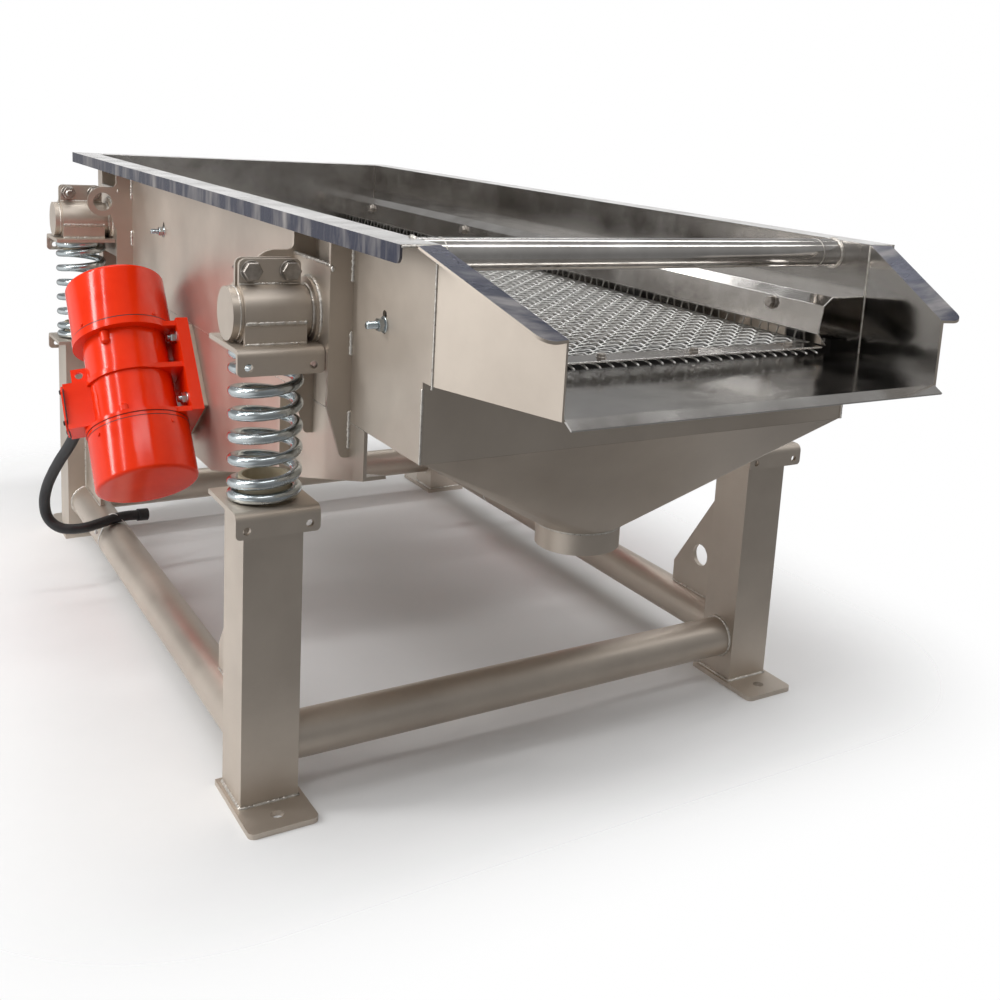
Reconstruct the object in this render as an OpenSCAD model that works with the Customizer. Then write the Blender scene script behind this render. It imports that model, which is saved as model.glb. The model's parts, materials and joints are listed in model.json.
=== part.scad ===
// Linear vibrating screen on a welded stainless frame with four coil springs.
// Millimetres. X across the machine, -Y the discharge end, +Y the feed end, Z up.
// The origin is on the floor, in the middle of the four anchor holes.

/* [Support frame] */
// Distance between leg centres along the machine
leg_span_y = 1460; // [1300:10:1600]
// Side of the square leg tube
leg_size = 100; // [90:1:110]
// Wall of the square leg tube
leg_wall = 5; // [3:0.5:8]
// Length of the leg tube above its foot plate
leg_h = 520; // [470:5:600]
// Thickness of the foot plate
foot_t = 10; // [6:1:16]
// How far the foot plate shows beside the leg
foot_margin = 10; // [5:1:20]
// How far the foot plate reaches beyond the leg towards the machine's end
foot_reach = 80; // [60:1:110]
// Radius of the foot plate's corners
foot_corner_r = 12; // [4:1:20]
// Diameter of the anchor hole in each foot plate
anchor_d = 22; // [14:1:28]
// Diameter of the round frame tubes
tube_d = 83; // [70:1:95]
// Wall of the round frame tubes
tube_wall = 4; // [2:0.5:8]
// Height of the frame tube axes above the floor
tube_z = 96; // [70:1:140]
// Length of the lifting gusset along the side tube
gusset_l = 175; // [150:1:220]
// Height of the lifting gusset at the leg, above the tube axis
gusset_h = 333; // [260:1:380]
// Height of the lifting gusset's outer edge, above the tube axis
gusset_edge_h = 90; // [70:1:140]
// Thickness of the lifting gusset
gusset_t = 10; // [6:1:16]
// Diameter of the hole in the lifting gusset
gusset_hole_d = 50; // [30:1:60]
// Distance of the lifting gusset's hole from the leg
gusset_hole_out = 84; // [70:1:100]
// Height of the lifting gusset's hole above the tube axis
gusset_hole_rise = 132; // [110:1:150]

/* [Springs] */
// Outside diameter of a spring
spring_od = 122; // [110:1:130]
// Wire diameter of a spring
spring_wire = 18; // [14:0.5:20]
// Height of a spring between its two seats
spring_h = 256; // [235:1:290]
// Number of turns of a spring, with the closed ones
spring_turns = 7.5; // [6:0.25:8]
// Direction of a spring's lower wire end, turned from the machine's right
spring_start = 120; // [0:5:355]
// Outside diameter of the guide tube inside a spring
guide_od = 84; // [60:0.5:84.5]
// Wall of the guide tube
guide_wall = 6; // [3:0.5:10]
// Height of the guide tube on the lower seat
guide_h = 40; // [30:1:90]
// Height of the guide tube under the upper seat
guide_top_h = 34; // [20:1:60]

/* [Spring seats and brackets] */
// Width of a spring seat across the machine
seat_w = 140; // [126:1:140]
// Length of a spring seat along the machine
seat_l = 148; // [130:1:152]
// Thickness of a spring seat
seat_t = 8; // [5:0.5:10]
// Height of a spring seat's down-turned flange, with the plate
seat_flange_h = 43; // [36:1:60]
// Outer fold radius of a spring seat
seat_fold_r = 14; // [11:1:18]
// Diameter of the two holes in a spring seat's flange
seat_hole_d = 13; // [8:0.5:18]
// Distance from a seat flange hole to the seat's side edge
seat_hole_edge = 18; // [12:1:30]
// Height of the two holes above the flange's lower edge
seat_hole_low = 14; // [10:1:20]
// Radius of the flange's lower corners
seat_corner_r = 8; // [3:1:12]
// Gap between a spring seat and the pillar's cap
seat_gap = 1; // [0.5:0.5:5]
// Height of the trunnion axis above the bracket's seat
trunnion_rise = 45; // [40:1:47]
// Diameter of the trunnion
trunnion_d = 86; // [70:0.5:88]
// Wall of the trunnion
trunnion_wall = 8; // [4:0.5:14]
// How far the trunnion's end shows beyond its sleeve
trunnion_proud = 17; // [8:1:30]
// Collar on the trunnion next to the pillar, diameter
collar_d = 112; // [100:1:130]
// Collar on the trunnion next to the pillar, thickness
collar_t = 8; // [4:1:12]
// Outside diameter of the clamp sleeve
sleeve_od = 100; // [96:0.5:108]
// Length of the clamp sleeve
sleeve_l = 100; // [80:1:110]
// Radial clearance between trunnion and sleeve
sleeve_gap = 0.25; // [0.1:0.05:0.5]
// Width of the slit in the clamp sleeve
slit_w = 12; // [6:1:20]
// Thickness of the clamp ears
ear_t = 8; // [5:0.5:12]
// Height of the clamp ears' top above the trunnion axis
ear_h = 87; // [80:1:100]
// Corner radius of the clamp ears
ear_r = 10; // [4:1:16]
// Diameter of the clamp bolts' holes
clamp_hole_d = 20; // [14:0.5:22]
// Distance between the two clamp bolts
clamp_bolt_span = 63; // [50:1:70]
// Thickness of the saddle plates under the sleeve
saddle_t = 8; // [5:0.5:12]
// Distance across the two saddle plates
saddle_span = 94; // [80:1:98]
// Height of the saddle plates
saddle_h = 34; // [28:1:36]

/* [Box] */
// Width over the side walls
box_w = 850; // [700:10:1100]
// Distance from the frame's middle to the side walls' front edge
box_front = 1105; // [1000:5:1200]
// Distance from the frame's middle to the rear wall's back
box_rear = 1050; // [950:5:1150]
// Sheet thickness of the walls
sheet_t = 4; // [2:0.5:6]
// Height of the rail's top above the trunnion axis
rail_rise = 153; // [135:1:180]
// Width of the rail along the walls' tops
rail_w = 57; // [50:1:70]
// Height of the rail's down-turned lip
rail_lip = 27; // [15:1:40]
// Radius of the lip's lower corner at its front end
lip_r = 12; // [4:1:20]
// Number of slots in each side wall for the hold-down studs
stud_slots = 4; // [2:1:6]
// Distance between the stud slots
slot_pitch = 636; // [500:1:650]
// Distance from the walls' front edge to the first stud slot
slot_first = 167; // [120:1:200]
// Width of the stud slots
slot_w = 14; // [10:0.5:18]
// Length of the stud slots
slot_l = 36; // [24:1:50]
// Height of the stud slots' middle above the trunnion axis
slot_rise = 16; // [5:1:25]
// Depth of the side walls' lower edge below the trunnion axis
wall_drop = 170; // [160:1:190]
// How far the walls' lower front edge stands back from the upper one
wall_notch = 30; // [20:1:50]
// Height of the deck mesh's top below the trunnion axis
deck_drop = 25; // [20:1:35]
// Thickness of the mesh
mesh_t = 5; // [3:0.5:8]
// Number of openings across the deck
mesh_cells = 12; // [8:1:12]
// Number of openings along the deck
mesh_rows = 10; // [6:1:12]
// Width of the bars between the openings
mesh_bar = 12; // [6:1:20]
// Width of the bar that clamps the mesh's front edge
bar_w = 48; // [35:1:60]
// Thickness of the bar that clamps the mesh's front edge
bar_t = 3; // [2:0.5:5]
// How far the clamp bar reaches beyond the walls' front edge
bar_over = 15; // [5:1:20]
// Gap between the clamp bar and each hold-down cover
bar_gap = 3; // [1:0.5:8]
// Side of the square deck support tubes
deck_bar = 40; // [25:1:50]
// Wall of the deck support tubes
deck_bar_wall = 3; // [2:0.5:5]
// Number of deck support bars
deck_bars = 5; // [3:1:7]
// Thickness of the undersize pan
pan_t = 3; // [2:0.5:6]
// Height of the pan's underside above the walls' lower edge
pan_rise = 7; // [4:1:20]
// Diameter of the front cross pipe
pipe_d = 50; // [38:1:60]
// Wall of the front cross pipe
pipe_wall = 3; // [2:0.5:6]
// Distance from the walls' front edge back to the pipe's axis
pipe_back = 90; // [60:1:130]

/* [Hold-down covers] */
// Width of the cover at its widest
cover_w = 104; // [90:1:140]
// Height of the cover above the mesh
cover_h = 86; // [70:1:100]
// Width of the flat on top
cover_top_w = 77; // [60:1:82]
// Height of the slanted edge
cover_edge_h = 15; // [8:1:25]
// How far the foot turns back under the cover
cover_foot = 20; // [10:1:30]
// Height of the foot's bend above the mesh
cover_foot_h = 21; // [12:1:30]
// Sheet thickness of the cover
cover_t = 3; // [2:0.5:4]
// Distance from the walls' front edge back to the cover's open end
cover_back = 2; // [1:1:60]

/* [Pillars] */
// Distance over a pillar's two ribs
pillar_w = 172; // [168:1:190]
// How far a pillar stands out from the wall
pillar_reach = 39; // [30:0.5:45]
// Thickness of ribs and cap
pillar_t = 8; // [5:0.5:10]
// Depth of the point where the taper starts, below the trunnion axis
taper_drop = 142; // [120:1:165]
// Depth of the pillar's lower end below the trunnion axis
pillar_drop = 229; // [200:1:260]
// Width of the pillar's lower end
pillar_toe = 14; // [10:1:25]
// Radius of the ribs' lower outer corner
toe_r = 8; // [3:1:12]
// Height of the cap's upper edge above the trunnion axis
cap_rise = 85; // [70:1:100]
// Depth of the cap's lower edge below the trunnion axis
cap_drop = 88; // [70:1:110]
// Height of the lifting eye above the trunnion axis
eye_rise = 53; // [45:1:65]
// Distance of the lifting eye from the wall
eye_out = 72; // [66:1:85]
// Outside radius of the lifting eye
eye_r = 37; // [32:1:42]
// Diameter of the lifting eye's hole
eye_d = 46; // [30:1:50]
// Radius of the inner corner above the eye
eye_fillet = 12; // [4:1:20]

/* [Motor plates] */
// Thickness of the plates that carry the motors
plate_t = 6; // [4:0.5:10]
// Distance from the frame's middle to the plate's upright edges
plate_half_l = 876; // [800:2:950]
// Depth of the upright edges' lower end below the trunnion axis
plate_edge_drop = 253; // [235:1:280]
// Depth of the lowest edge below the trunnion axis
plate_drop = 467; // [455:1:500]
// Where the lowest edge starts, towards the discharge end
plate_flat_front = 61; // [40:1:120]
// Where the lowest edge ends, towards the feed end
plate_flat_rear = 200; // [160:1:260]
// Width of the plate's inward flange
plate_flange = 40; // [25:1:60]
// Distance of the two upright stiffeners from the frame's middle
stiffener_y = 540; // [500:1:600]
// How far a stiffener stands out from the plate
stiffener_w = 20; // [12:1:30]
// Thickness of a stiffener
stiffener_t = 10; // [6:0.5:14]

/* [Chute] */
// Length of the chute along the machine
chute_l = 231; // [180:1:300]
// How far each chute side leans in at the tip
chute_in = 69; // [40:1:90]
// Depth of the chute floor's underside below the trunnion axis
floor_drop = 47; // [43:1:52]
// Thickness of the chute floor
floor_t = 3; // [2:0.5:5]
// Height of the chute sides at the tip
chute_tip_h = 107; // [70:1:140]
// Width of the chute sides' flange
chute_flange = 38; // [25:1:50]
// Corner radius of the chute sides' flange
chute_flange_r = 22; // [8:1:24]
// Length of the bent lip on the chute floor
lip_l = 18; // [10:1:30]
// Drop of the bent lip on the chute floor
lip_drop = 10; // [4:1:20]

/* [Hopper] */
// Length of the hopper's mouth along the machine
hopper_l = 414; // [340:2:460]
// Depth of the cone below the walls' lower edge
hopper_h = 206; // [180:1:230]
// Sheet thickness of the hopper
hopper_t = 3; // [2:0.5:4]
// Gap between the cone's mouth and the motor plates
cone_gap = 0.5; // [0.2:0.1:2]
// Outside diameter of the round spout
spout_d = 154; // [120:1:180]
// Wall of the round spout
spout_wall = 4; // [2:0.5:6]
// Length of the round spout
spout_l = 40; // [30:1:60]

/* [Motors] */
// Lean of the motor's shaft from upright
motor_lean = 38; // [34:0.5:42]
// Distance from the wall to the motor's shaft
motor_out = 133; // [125:1:140]
// Distance of the motor's middle towards the feed end
motor_y = 90; // [70:1:110]
// Depth of the motor's middle below the trunnion axis
motor_drop = 295; // [285:1:305]
// Diameter of the motor's barrel
barrel_d = 174; // [160:1:180]
// Length of the barrel above the motor's middle
barrel_up = 95; // [90:1:105]
// Length of the barrel below the motor's middle
barrel_down = 105; // [100:1:115]
// Diameter of the end rings
ring_d = 214; // [206:1:220]
// Length of the upper end ring
ring_up = 17; // [12:1:30]
// Length of the lower end ring
ring_down = 8; // [5:1:15]
// Diameter of the end covers
cover_d = 210; // [190:1:214]
// Length of the upper end cover
cover_up = 131; // [110:1:145]
// Length of the lower end cover
cover_down = 130; // [110:1:145]
// Edge radius of the end covers
cover_edge_r = 8; // [4:1:20]
// Thickness of the plate between motor and wall
base_t = 12; // [8:1:16]
// How far the plate between motor and wall stands back behind the motor's foot
base_inset = 12; // [6:1:14]
// Length of the motor's foot along its shaft
foot_plate_l = 224; // [200:1:230]
// Width of the motor's foot
foot_plate_w = 180; // [172:1:196]
// Thickness of the motor's foot
foot_plate_t = 26; // [20:1:30]
// Diameter of the holes in the motor's foot
foot_hole_d = 18; // [12:0.5:22]
// Distance between the foot holes along the shaft
foot_hole_l = 150; // [130:1:156]
// Distance between the foot holes across the shaft
foot_hole_w = 130; // [120:1:136]
// Thickness of the webs between barrel and foot
web_t = 12; // [8:1:16]
// Thickness of the motor's lifting lug
lug_t = 8; // [5:0.5:12]
// Distance of the lifting lug's edge from the shaft
lug_out = 118; // [110:1:125]
// Height of the lifting lug's hole above the motor's middle
lug_z = 34; // [28:1:50]
// Diameter of the lifting lug's hole, and the metal round it
lug_d = 16; // [10:0.5:20]
// Turn of the terminal box from straight outwards, towards the feed end
box_turn = 14; // [8:0.5:20]
// Length of the terminal box along the shaft
box_l = 105; // [90:1:115]
// Width of the terminal box
box_side = 60; // [50:1:70]
// Distance of the terminal box's face from the shaft
box_face = 136; // [125:1:145]
// Thickness of the terminal box's cover
box_lid_t = 5; // [3:0.5:8]
// How far the terminal box's cover stands out beside the box
box_lid_margin = 6; // [2:0.5:10]
// Corner cut of the terminal box's cover
box_lid_cut = 18; // [8:1:24]

/* [Cables] */
// Diameter of the motor's cable conduit
cable_d = 25; // [18:0.5:28]
// Diameter of the cable gland
gland_d = 34; // [28:0.5:40]
// Length of the bush on the conduit's free end
bush_l = 24; // [14:1:40]
// Diameter of the bush on the conduit's free end
bush_d = 30; // [28:0.5:36]

/* [Hidden] */
$fn = 48;
leg_y = leg_span_y / 2;
leg_top = foot_t + leg_h;
seat_top = leg_top + seat_t;
bracket_z = seat_top + spring_h;
bracket_top = bracket_z + seat_t;
axis_z = bracket_top + trunnion_rise;
wall_x = box_w / 2;
inner_x = wall_x - sheet_t;
// The legs stand under the springs, clear of the pillars
wall_out = pillar_reach + seat_gap + seat_w / 2;
leg_x = wall_x + wall_out;
rail_z = axis_z + rail_rise;
wall_z = axis_z - wall_drop;
floor_z = axis_z - floor_drop;
deck_z = axis_z - deck_drop;
pan_z = wall_z + pan_rise;
notch_front = box_front - wall_notch;
hopper_y = -notch_front + hopper_l / 2;
spout_top = wall_z - hopper_h;
motor_x = wall_x + motor_out;
motor_z = axis_z - motor_drop;
foot_face = motor_out - base_t;
foot_low = -barrel_down - ring_down;
// Root of the gland inside the terminal box, in the motor's own frame, and its length to the conduit
gland_start = [-107, 42, -65];
gland_l = 51;
// Hand-chosen way of the left conduit, from the gland over the side tube
cable_points = [
    [-665, 123, 443], [-667, 160, 414], [-672, 200, 381], [-680, 245, 343], [-688, 286, 303],
    [-695, 320, 262], [-698, 341, 222], [-694, 348, 186], [-682, 343, 163], [-662, 333, 150],
    [-636, 326, 147], [-608, 325, 148], [-580, 334, 150], [-555, 349, 150], [-530, 362, 150],
    [-504, 370, 149], [-480, 373, 147]
];
cable_sides = 10;
wire_sides = 8;
rings_per_turn = 18;

steel = "tan";
polished = "silver";
zinc = "lightsteelblue";
paint = "orangered";

function unit(v) = v / norm(v);
function left_of(a, b) = let (d = unit(b - a)) [-d[1], d[0]];
function bend(p, i) =
    let (before = i > 0 ? left_of(p[i - 1], p[i]) : left_of(p[i], p[i + 1]))
    let (after = i < len(p) - 1 ? left_of(p[i], p[i + 1]) : before)
    (before + after) / (1 + before * after);
// Outline of a folded sheet: the points of one face, then those of the other, thickness t to the left
function folded(p, t) = concat(p, [for (i = [len(p) - 1:-1:0]) p[i] + t * bend(p, i)]);

// Places a piece that is drawn for a corner: +X outwards across, +Y outwards along the machine
module corner(sx, sy) {
    translate([sx * leg_x, sy * leg_y, 0])
        mirror([sx < 0 ? 1 : 0, 0, 0])
            mirror([0, sy < 0 ? 1 : 0, 0])
                children();
}

module each_corner() {
    for (sx = [-1, 1], sy = [-1, 1])
        corner(sx, sy) children();
}

// Places a piece that is drawn for the left side on the left or on the right
module side(s) {
    mirror([s > 0 ? 1 : 0, 0, 0]) children();
}

// Extrudes an outline in X and Z along Y, from y to y + l
module along_y(y, l) {
    translate([0, y + l, 0]) rotate([90, 0, 0]) linear_extrude(l) children();
}

// Extrudes an outline in Y and Z along X, from x to x + l
module along_x(x, l) {
    translate([x, 0, 0]) rotate([90, 0, 90]) linear_extrude(l) children();
}

// What is cut away to round a corner of radius r that points to +X and +Y, from the round's centre
module corner_waste(r) {
    difference() {
        square(2 * r);
        circle(r);
    }
}

module ring(outer, inner) {
    difference() {
        circle(d = outer);
        circle(d = inner);
    }
}

module leg(sx, sy) {
    color(steel) corner(sx, sy) translate([0, 0, foot_t]) linear_extrude(leg_h) difference() {
        square(leg_size, center = true);
        square(leg_size - 2 * leg_wall, center = true);
    }
}

module foot_plates() {
    near = -leg_size / 2 - foot_margin;
    far = leg_size / 2 + foot_reach;
    half = leg_size / 2 + foot_margin;
    color(steel) each_corner() linear_extrude(foot_t) difference() {
        translate([-half, near]) square([2 * half, far - near]);
        translate([0, (leg_size + foot_reach) / 2]) circle(d = anchor_d);
        for (s = [-1, 1])
            translate([s * (half - foot_corner_r), far - foot_corner_r])
                mirror([s < 0 ? 1 : 0, 0]) corner_waste(foot_corner_r);
    }
}

// A seat plate with its top at z = 0 and its flange folded down on the outer side
module spring_seat() {
    flat = seat_l - seat_fold_r;
    difference() {
        along_x(-seat_w / 2, seat_w) {
            translate([-seat_l / 2, -seat_t]) square([flat, seat_t]);
            translate([seat_l / 2 - seat_t, -seat_flange_h]) square([seat_t, seat_flange_h - seat_fold_r]);
            translate([seat_l / 2 - seat_fold_r, -seat_fold_r]) intersection() {
                ring(2 * seat_fold_r, 2 * (seat_fold_r - seat_t));
                square(seat_fold_r);
            }
        }
        for (s = [-1, 1]) {
            translate([s * (seat_w / 2 - seat_hole_edge), seat_l / 2 + 1, seat_hole_low - seat_flange_h])
                rotate([90, 0, 0]) cylinder(d = seat_hole_d, h = seat_t + 2);
            translate([s * (seat_w / 2 - seat_corner_r), 0, seat_corner_r - seat_flange_h])
                mirror([s < 0 ? 1 : 0, 0, 0]) along_y(seat_l / 2 - seat_t - 1, seat_t + 2)
                    rotate(-90) corner_waste(seat_corner_r);
        }
    }
}

module lower_spring_seats() {
    color(steel) each_corner() translate([0, 0, seat_top]) spring_seat();
}

module cross_tube(sy) {
    l = 2 * leg_x - leg_size;
    color(steel) translate([-l / 2, sy * leg_y, tube_z]) rotate([0, 90, 0])
        linear_extrude(l) ring(tube_d, tube_d - 2 * tube_wall);
}

module side_tube(sx) {
    l = leg_span_y - leg_size;
    color(steel) translate([sx * leg_x, l / 2, tube_z]) rotate([90, 0, 0])
        linear_extrude(l) ring(tube_d, tube_d - 2 * tube_wall);
}

// The plate on the side tube against the leg, with the round lifting hole
module lifting_gussets() {
    seat = tube_d / 2;
    edge = [[0, seat], [0, gusset_h], [-gusset_t, gusset_h], [-gusset_l, gusset_edge_h], [-gusset_l, seat]];
    color(steel) each_corner() translate([0, -leg_size / 2, tube_z])
        along_x(-gusset_t / 2, gusset_t) difference() {
            polygon(edge);
            translate([-gusset_hole_out, gusset_hole_rise]) circle(d = gusset_hole_d);
        }
}

// Height of the wire's centre after t turns: closed end turns, and an even pitch between them
function coil_z(t) =
    let (start = 0.3 * spring_wire, step = 1.02 * spring_wire)
    let (low = start + step, high = spring_h - low)
    t < 1 ? start + step * t
    : t > spring_turns - 1 ? spring_h - start - step * (spring_turns - t)
    : low + (high - low) * (t - 1) / (spring_turns - 2);

// A coil spring with ground ends, standing on z = 0
module coil_spring() {
    mean_r = (spring_od - spring_wire) / 2;
    count = round(spring_turns * rings_per_turn);
    points = [for (i = [0:count], j = [0:wire_sides - 1])
        let (t = i / rings_per_turn, a = spring_start + 360 * t, b = 360 * (j + 0.5) / wire_sides)
        let (r = mean_r + spring_wire / 2 * cos(b), z = coil_z(t) + spring_wire / 2 * sin(b))
        [r * cos(a), r * sin(a), min(max(z, 0), spring_h)]];
    sides = [for (i = [0:count - 1], j = [0:wire_sides - 1])
        let (a = i * wire_sides + j, b = i * wire_sides + (j + 1) % wire_sides)
        each [[a, a + wire_sides, b], [b, a + wire_sides, b + wire_sides]]];
    start = [for (j = [0:wire_sides - 1]) j];
    end = [for (j = [wire_sides - 1:-1:0]) count * wire_sides + j];
    polyhedron(points, concat(sides, [start, end]), convexity = 10);
}

module spring(sx, sy) {
    color(zinc) translate([sx * leg_x, sy * leg_y, seat_top]) coil_spring();
}

// A guide tube on each lower seat and a shorter one under each upper seat
module spring_guides() {
    color("wheat") each_corner() {
        translate([0, 0, seat_top]) linear_extrude(guide_h) ring(guide_od, guide_od - 2 * guide_wall);
        translate([0, 0, bracket_z - guide_top_h])
            linear_extrude(guide_top_h) ring(guide_od, guide_od - 2 * guide_wall);
    }
}

// Two upright ear plates with rounded upper corners, on the slit of the sleeve
module clamp_ears() {
    root = sleeve_od / 2 - ear_t;
    hole_z = (sleeve_od / 2 + ear_h) / 2;
    for (s = [-1, 1])
        along_y(s > 0 ? slit_w / 2 : -slit_w / 2 - ear_t, ear_t) difference() {
            translate([-sleeve_l / 2, root]) square([sleeve_l, ear_h - root]);
            for (e = [-1, 1]) {
                translate([e * (sleeve_l / 2 - ear_r), ear_h - ear_r])
                    mirror([e < 0 ? 1 : 0, 0]) corner_waste(ear_r);
                translate([e * clamp_bolt_span / 2, hole_z]) circle(d = clamp_hole_d);
            }
        }
}

// Seat plate, saddle plates and split clamp sleeve, welded together
module spring_bracket(sx, sy) {
    bore_d = trunnion_d + 2 * sleeve_gap;
    color(steel) corner(sx, sy) {
        translate([0, 0, bracket_top]) spring_seat();
        translate([0, 0, axis_z]) difference() {
            union() {
                rotate([0, 90, 0]) cylinder(d = sleeve_od, h = sleeve_l, center = true);
                clamp_ears();
                for (y = [saddle_span / 2 - saddle_t, -saddle_span / 2])
                    translate([-sleeve_l / 2, y, -trunnion_rise]) cube([sleeve_l, saddle_t, saddle_h]);
            }
            rotate([0, 90, 0]) cylinder(d = bore_d, h = sleeve_l + 2, center = true);
            translate([-sleeve_l / 2 - 1, -slit_w / 2, 0]) cube([sleeve_l + 2, slit_w, sleeve_od]);
        }
    }
}

// A closed pipe end welded to the pillar's cap, with a collar
module trunnions() {
    root = pillar_reach - wall_out;
    length = sleeve_l / 2 + trunnion_proud - root;
    color(steel) each_corner() translate([root, 0, axis_z]) rotate([0, 90, 0]) difference() {
        union() {
            cylinder(d = trunnion_d, h = length);
            cylinder(d = collar_d, h = collar_t);
        }
        translate([0, 0, -1]) cylinder(d = trunnion_d - 2 * trunnion_wall, h = length - trunnion_wall + 1);
    }
}

// Rib outline from the wall outwards, with Z from the trunnion axis
module rib_outline() {
    top = rail_rise - sheet_t;
    knee = [pillar_reach, -taper_drop];
    toe = [pillar_toe, -pillar_drop];
    lean = atan2(knee[1] - toe[1], knee[0] - toe[0]);
    cut = toe_r / tan((180 - lean) / 2);
    polygon([[0, top], [pillar_reach, top], knee, toe + cut * unit(knee - toe),
        toe - [cut, 0], [0, -pillar_drop]]);
    translate(toe + [-cut, toe_r]) circle(toe_r);
}

// Round lifting eye that grows out of a rib
module eye_outline() {
    slope = 60;
    difference() {
        union() {
            translate([eye_out, eye_rise]) circle(eye_r);
            translate([0, eye_rise]) square([eye_out, eye_r]);
            polygon([[0, eye_rise], [eye_out, eye_rise],
                [eye_out - eye_r * cos(slope), eye_rise - eye_r * sin(slope)],
                [pillar_reach, eye_rise - 2 * eye_r], [0, eye_rise - 2 * eye_r]]);
            translate([pillar_reach, eye_rise + eye_r]) difference() {
                square(eye_fillet);
                translate([eye_fillet, eye_fillet]) circle(eye_fillet);
            }
        }
        translate([eye_out, eye_rise]) circle(d = eye_d);
    }
}

// Two ribs and a cap plate on the wall. The rib towards the machine's middle carries the eye.
module pillar(sx, sy) {
    color(steel) corner(sx, sy) translate([-wall_out, 0, axis_z]) {
        along_y(pillar_w / 2 - pillar_t, pillar_t) rib_outline();
        along_y(-pillar_w / 2, pillar_t) difference() {
            union() {
                rib_outline();
                eye_outline();
            }
            translate([eye_out, eye_rise]) circle(d = eye_d);
        }
        translate([pillar_reach - pillar_t, -pillar_w / 2, -cap_drop])
            cube([pillar_t, pillar_w, cap_rise + cap_drop]);
    }
}

// Upright slot with round ends
module stud_slot() {
    half = (slot_l - slot_w) / 2;
    square([slot_w, 2 * half], center = true);
    for (s = [-1, 1])
        translate([0, s * half]) circle(d = slot_w);
}

// Side wall with its rail: a flange turned outwards with a lip turned down
module side_wall(s) {
    rail = [[-inner_x, rail_z], [-wall_x - rail_w, rail_z], [-wall_x - rail_w, rail_z - rail_lip]];
    rail_end = box_rear + rail_w;
    color(steel) side(s) difference() {
        union() {
            along_x(-wall_x, sheet_t) polygon([
                [-box_front, rail_z], [-box_front, floor_z], [-notch_front, floor_z], [-notch_front, wall_z],
                [box_rear, wall_z], [box_rear, rail_z]]);
            along_y(-box_front, box_front + rail_end) polygon(folded(rail, sheet_t));
            translate([-wall_x - rail_w, rail_end - sheet_t, rail_z - rail_lip])
                cube([rail_w + sheet_t, sheet_t, rail_lip]);
        }
        for (i = [0:stud_slots - 1])
            translate([0, slot_first - box_front + i * slot_pitch, axis_z + slot_rise])
                along_x(-wall_x - 1, sheet_t + 2) stud_slot();
        translate([0, lip_r - box_front, rail_z - rail_lip + lip_r])
            along_x(-wall_x - rail_w - 1, sheet_t + 2) rotate(180) corner_waste(lip_r);
    }
}

module rear_wall() {
    inside = box_rear - sheet_t;
    rail = [[inside, rail_z], [box_rear + rail_w, rail_z], [box_rear + rail_w, rail_z - rail_lip]];
    color(steel) {
        translate([-inner_x, inside, pan_z]) cube([2 * inner_x, sheet_t, rail_z - pan_z]);
        along_x(-inner_x, 2 * inner_x) polygon(folded(rail, -sheet_t));
    }
}

// Upright bar on the outside of the left motor plate, ending a little above the plate's lower edge
module stiffener(y, low_z) {
    foot_z = low_z + stiffener_t;
    translate([-wall_x - stiffener_w, y - stiffener_t / 2, foot_z])
        cube([stiffener_w + plate_t / 2, stiffener_t, wall_z - foot_z]);
}

// Plate under the side wall that carries the motor, with a flange turned inwards along its lower edge
module motor_plate(s) {
    edge_z = axis_z - plate_edge_drop;
    low_z = axis_z - plate_drop;
    fall = (edge_z - low_z) * (plate_half_l - stiffener_y);
    low = [[-plate_half_l, edge_z], [-plate_flat_front, low_z],
        [plate_flat_rear, low_z], [plate_half_l, edge_z]];
    color(steel) side(s) {
        along_x(-wall_x, plate_t) polygon(concat([[plate_half_l, wall_z], [-plate_half_l, wall_z]], low));
        along_x(-wall_x, plate_flange) polygon(folded(low, plate_t));
        stiffener(-stiffener_y, edge_z - fall / (plate_half_l - plate_flat_front));
        stiffener(stiffener_y, edge_z - fall / (plate_half_l - plate_flat_rear));
    }
}

module undersize_pan() {
    front = -notch_front + hopper_l;
    color(steel) translate([-inner_x, front, pan_z])
        cube([2 * inner_x, box_rear - sheet_t - front, pan_t]);
}

module deck_support_bars() {
    first = -notch_front + deck_bar;
    last = box_rear - 3 * deck_bar;
    color(steel) for (i = [0:deck_bars - 1])
        translate([0, first + (last - first) * i / (deck_bars - 1), deck_z - mesh_t - deck_bar])
            along_x(-inner_x, 2 * inner_x) difference() {
                square(deck_bar);
                translate([deck_bar_wall, deck_bar_wall]) square(deck_bar - 2 * deck_bar_wall);
            }
}

// Deck with a grid of openings between the hold-down covers, behind the clamp bar
module screen_mesh() {
    half = inner_x - cover_w;
    front = -box_front - bar_over + bar_w;
    deck_l = box_front + box_rear - 2 * sheet_t;
    pitch_x = 2 * half / mesh_cells;
    pitch_y = (box_rear - sheet_t - front) / mesh_rows;
    color(polished) translate([0, 0, deck_z - mesh_t]) linear_extrude(mesh_t) difference() {
        translate([-inner_x, -box_front + sheet_t]) square([2 * inner_x, deck_l]);
        for (i = [0:mesh_cells - 1], j = [0:mesh_rows - 1])
            translate([i * pitch_x - half + mesh_bar / 2, front + j * pitch_y + mesh_bar / 2])
                square([pitch_x - mesh_bar, pitch_y - mesh_bar]);
    }
}

// Flat bar across the mesh's front edge, between the hold-down covers
module front_clamp_bar() {
    half = inner_x - cover_w - bar_gap;
    color(polished) translate([-half, -box_front - bar_over, deck_z]) cube([2 * half, bar_w, bar_t]);
}

// Folded cover that holds the mesh's edge down along the wall, open at its front end
module hold_down_cover(s) {
    fold = [[0, cover_h], [cover_top_w, cover_h], [cover_w - cover_edge_h / 2, cover_h - cover_edge_h],
        [cover_w, cover_foot_h], [cover_w - cover_foot, 0]];
    start = -box_front + cover_back;
    color(polished) side(s) translate([-inner_x, 0, deck_z])
        along_y(start, box_rear - sheet_t - start) polygon(folded(fold, -cover_t));
}

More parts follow.
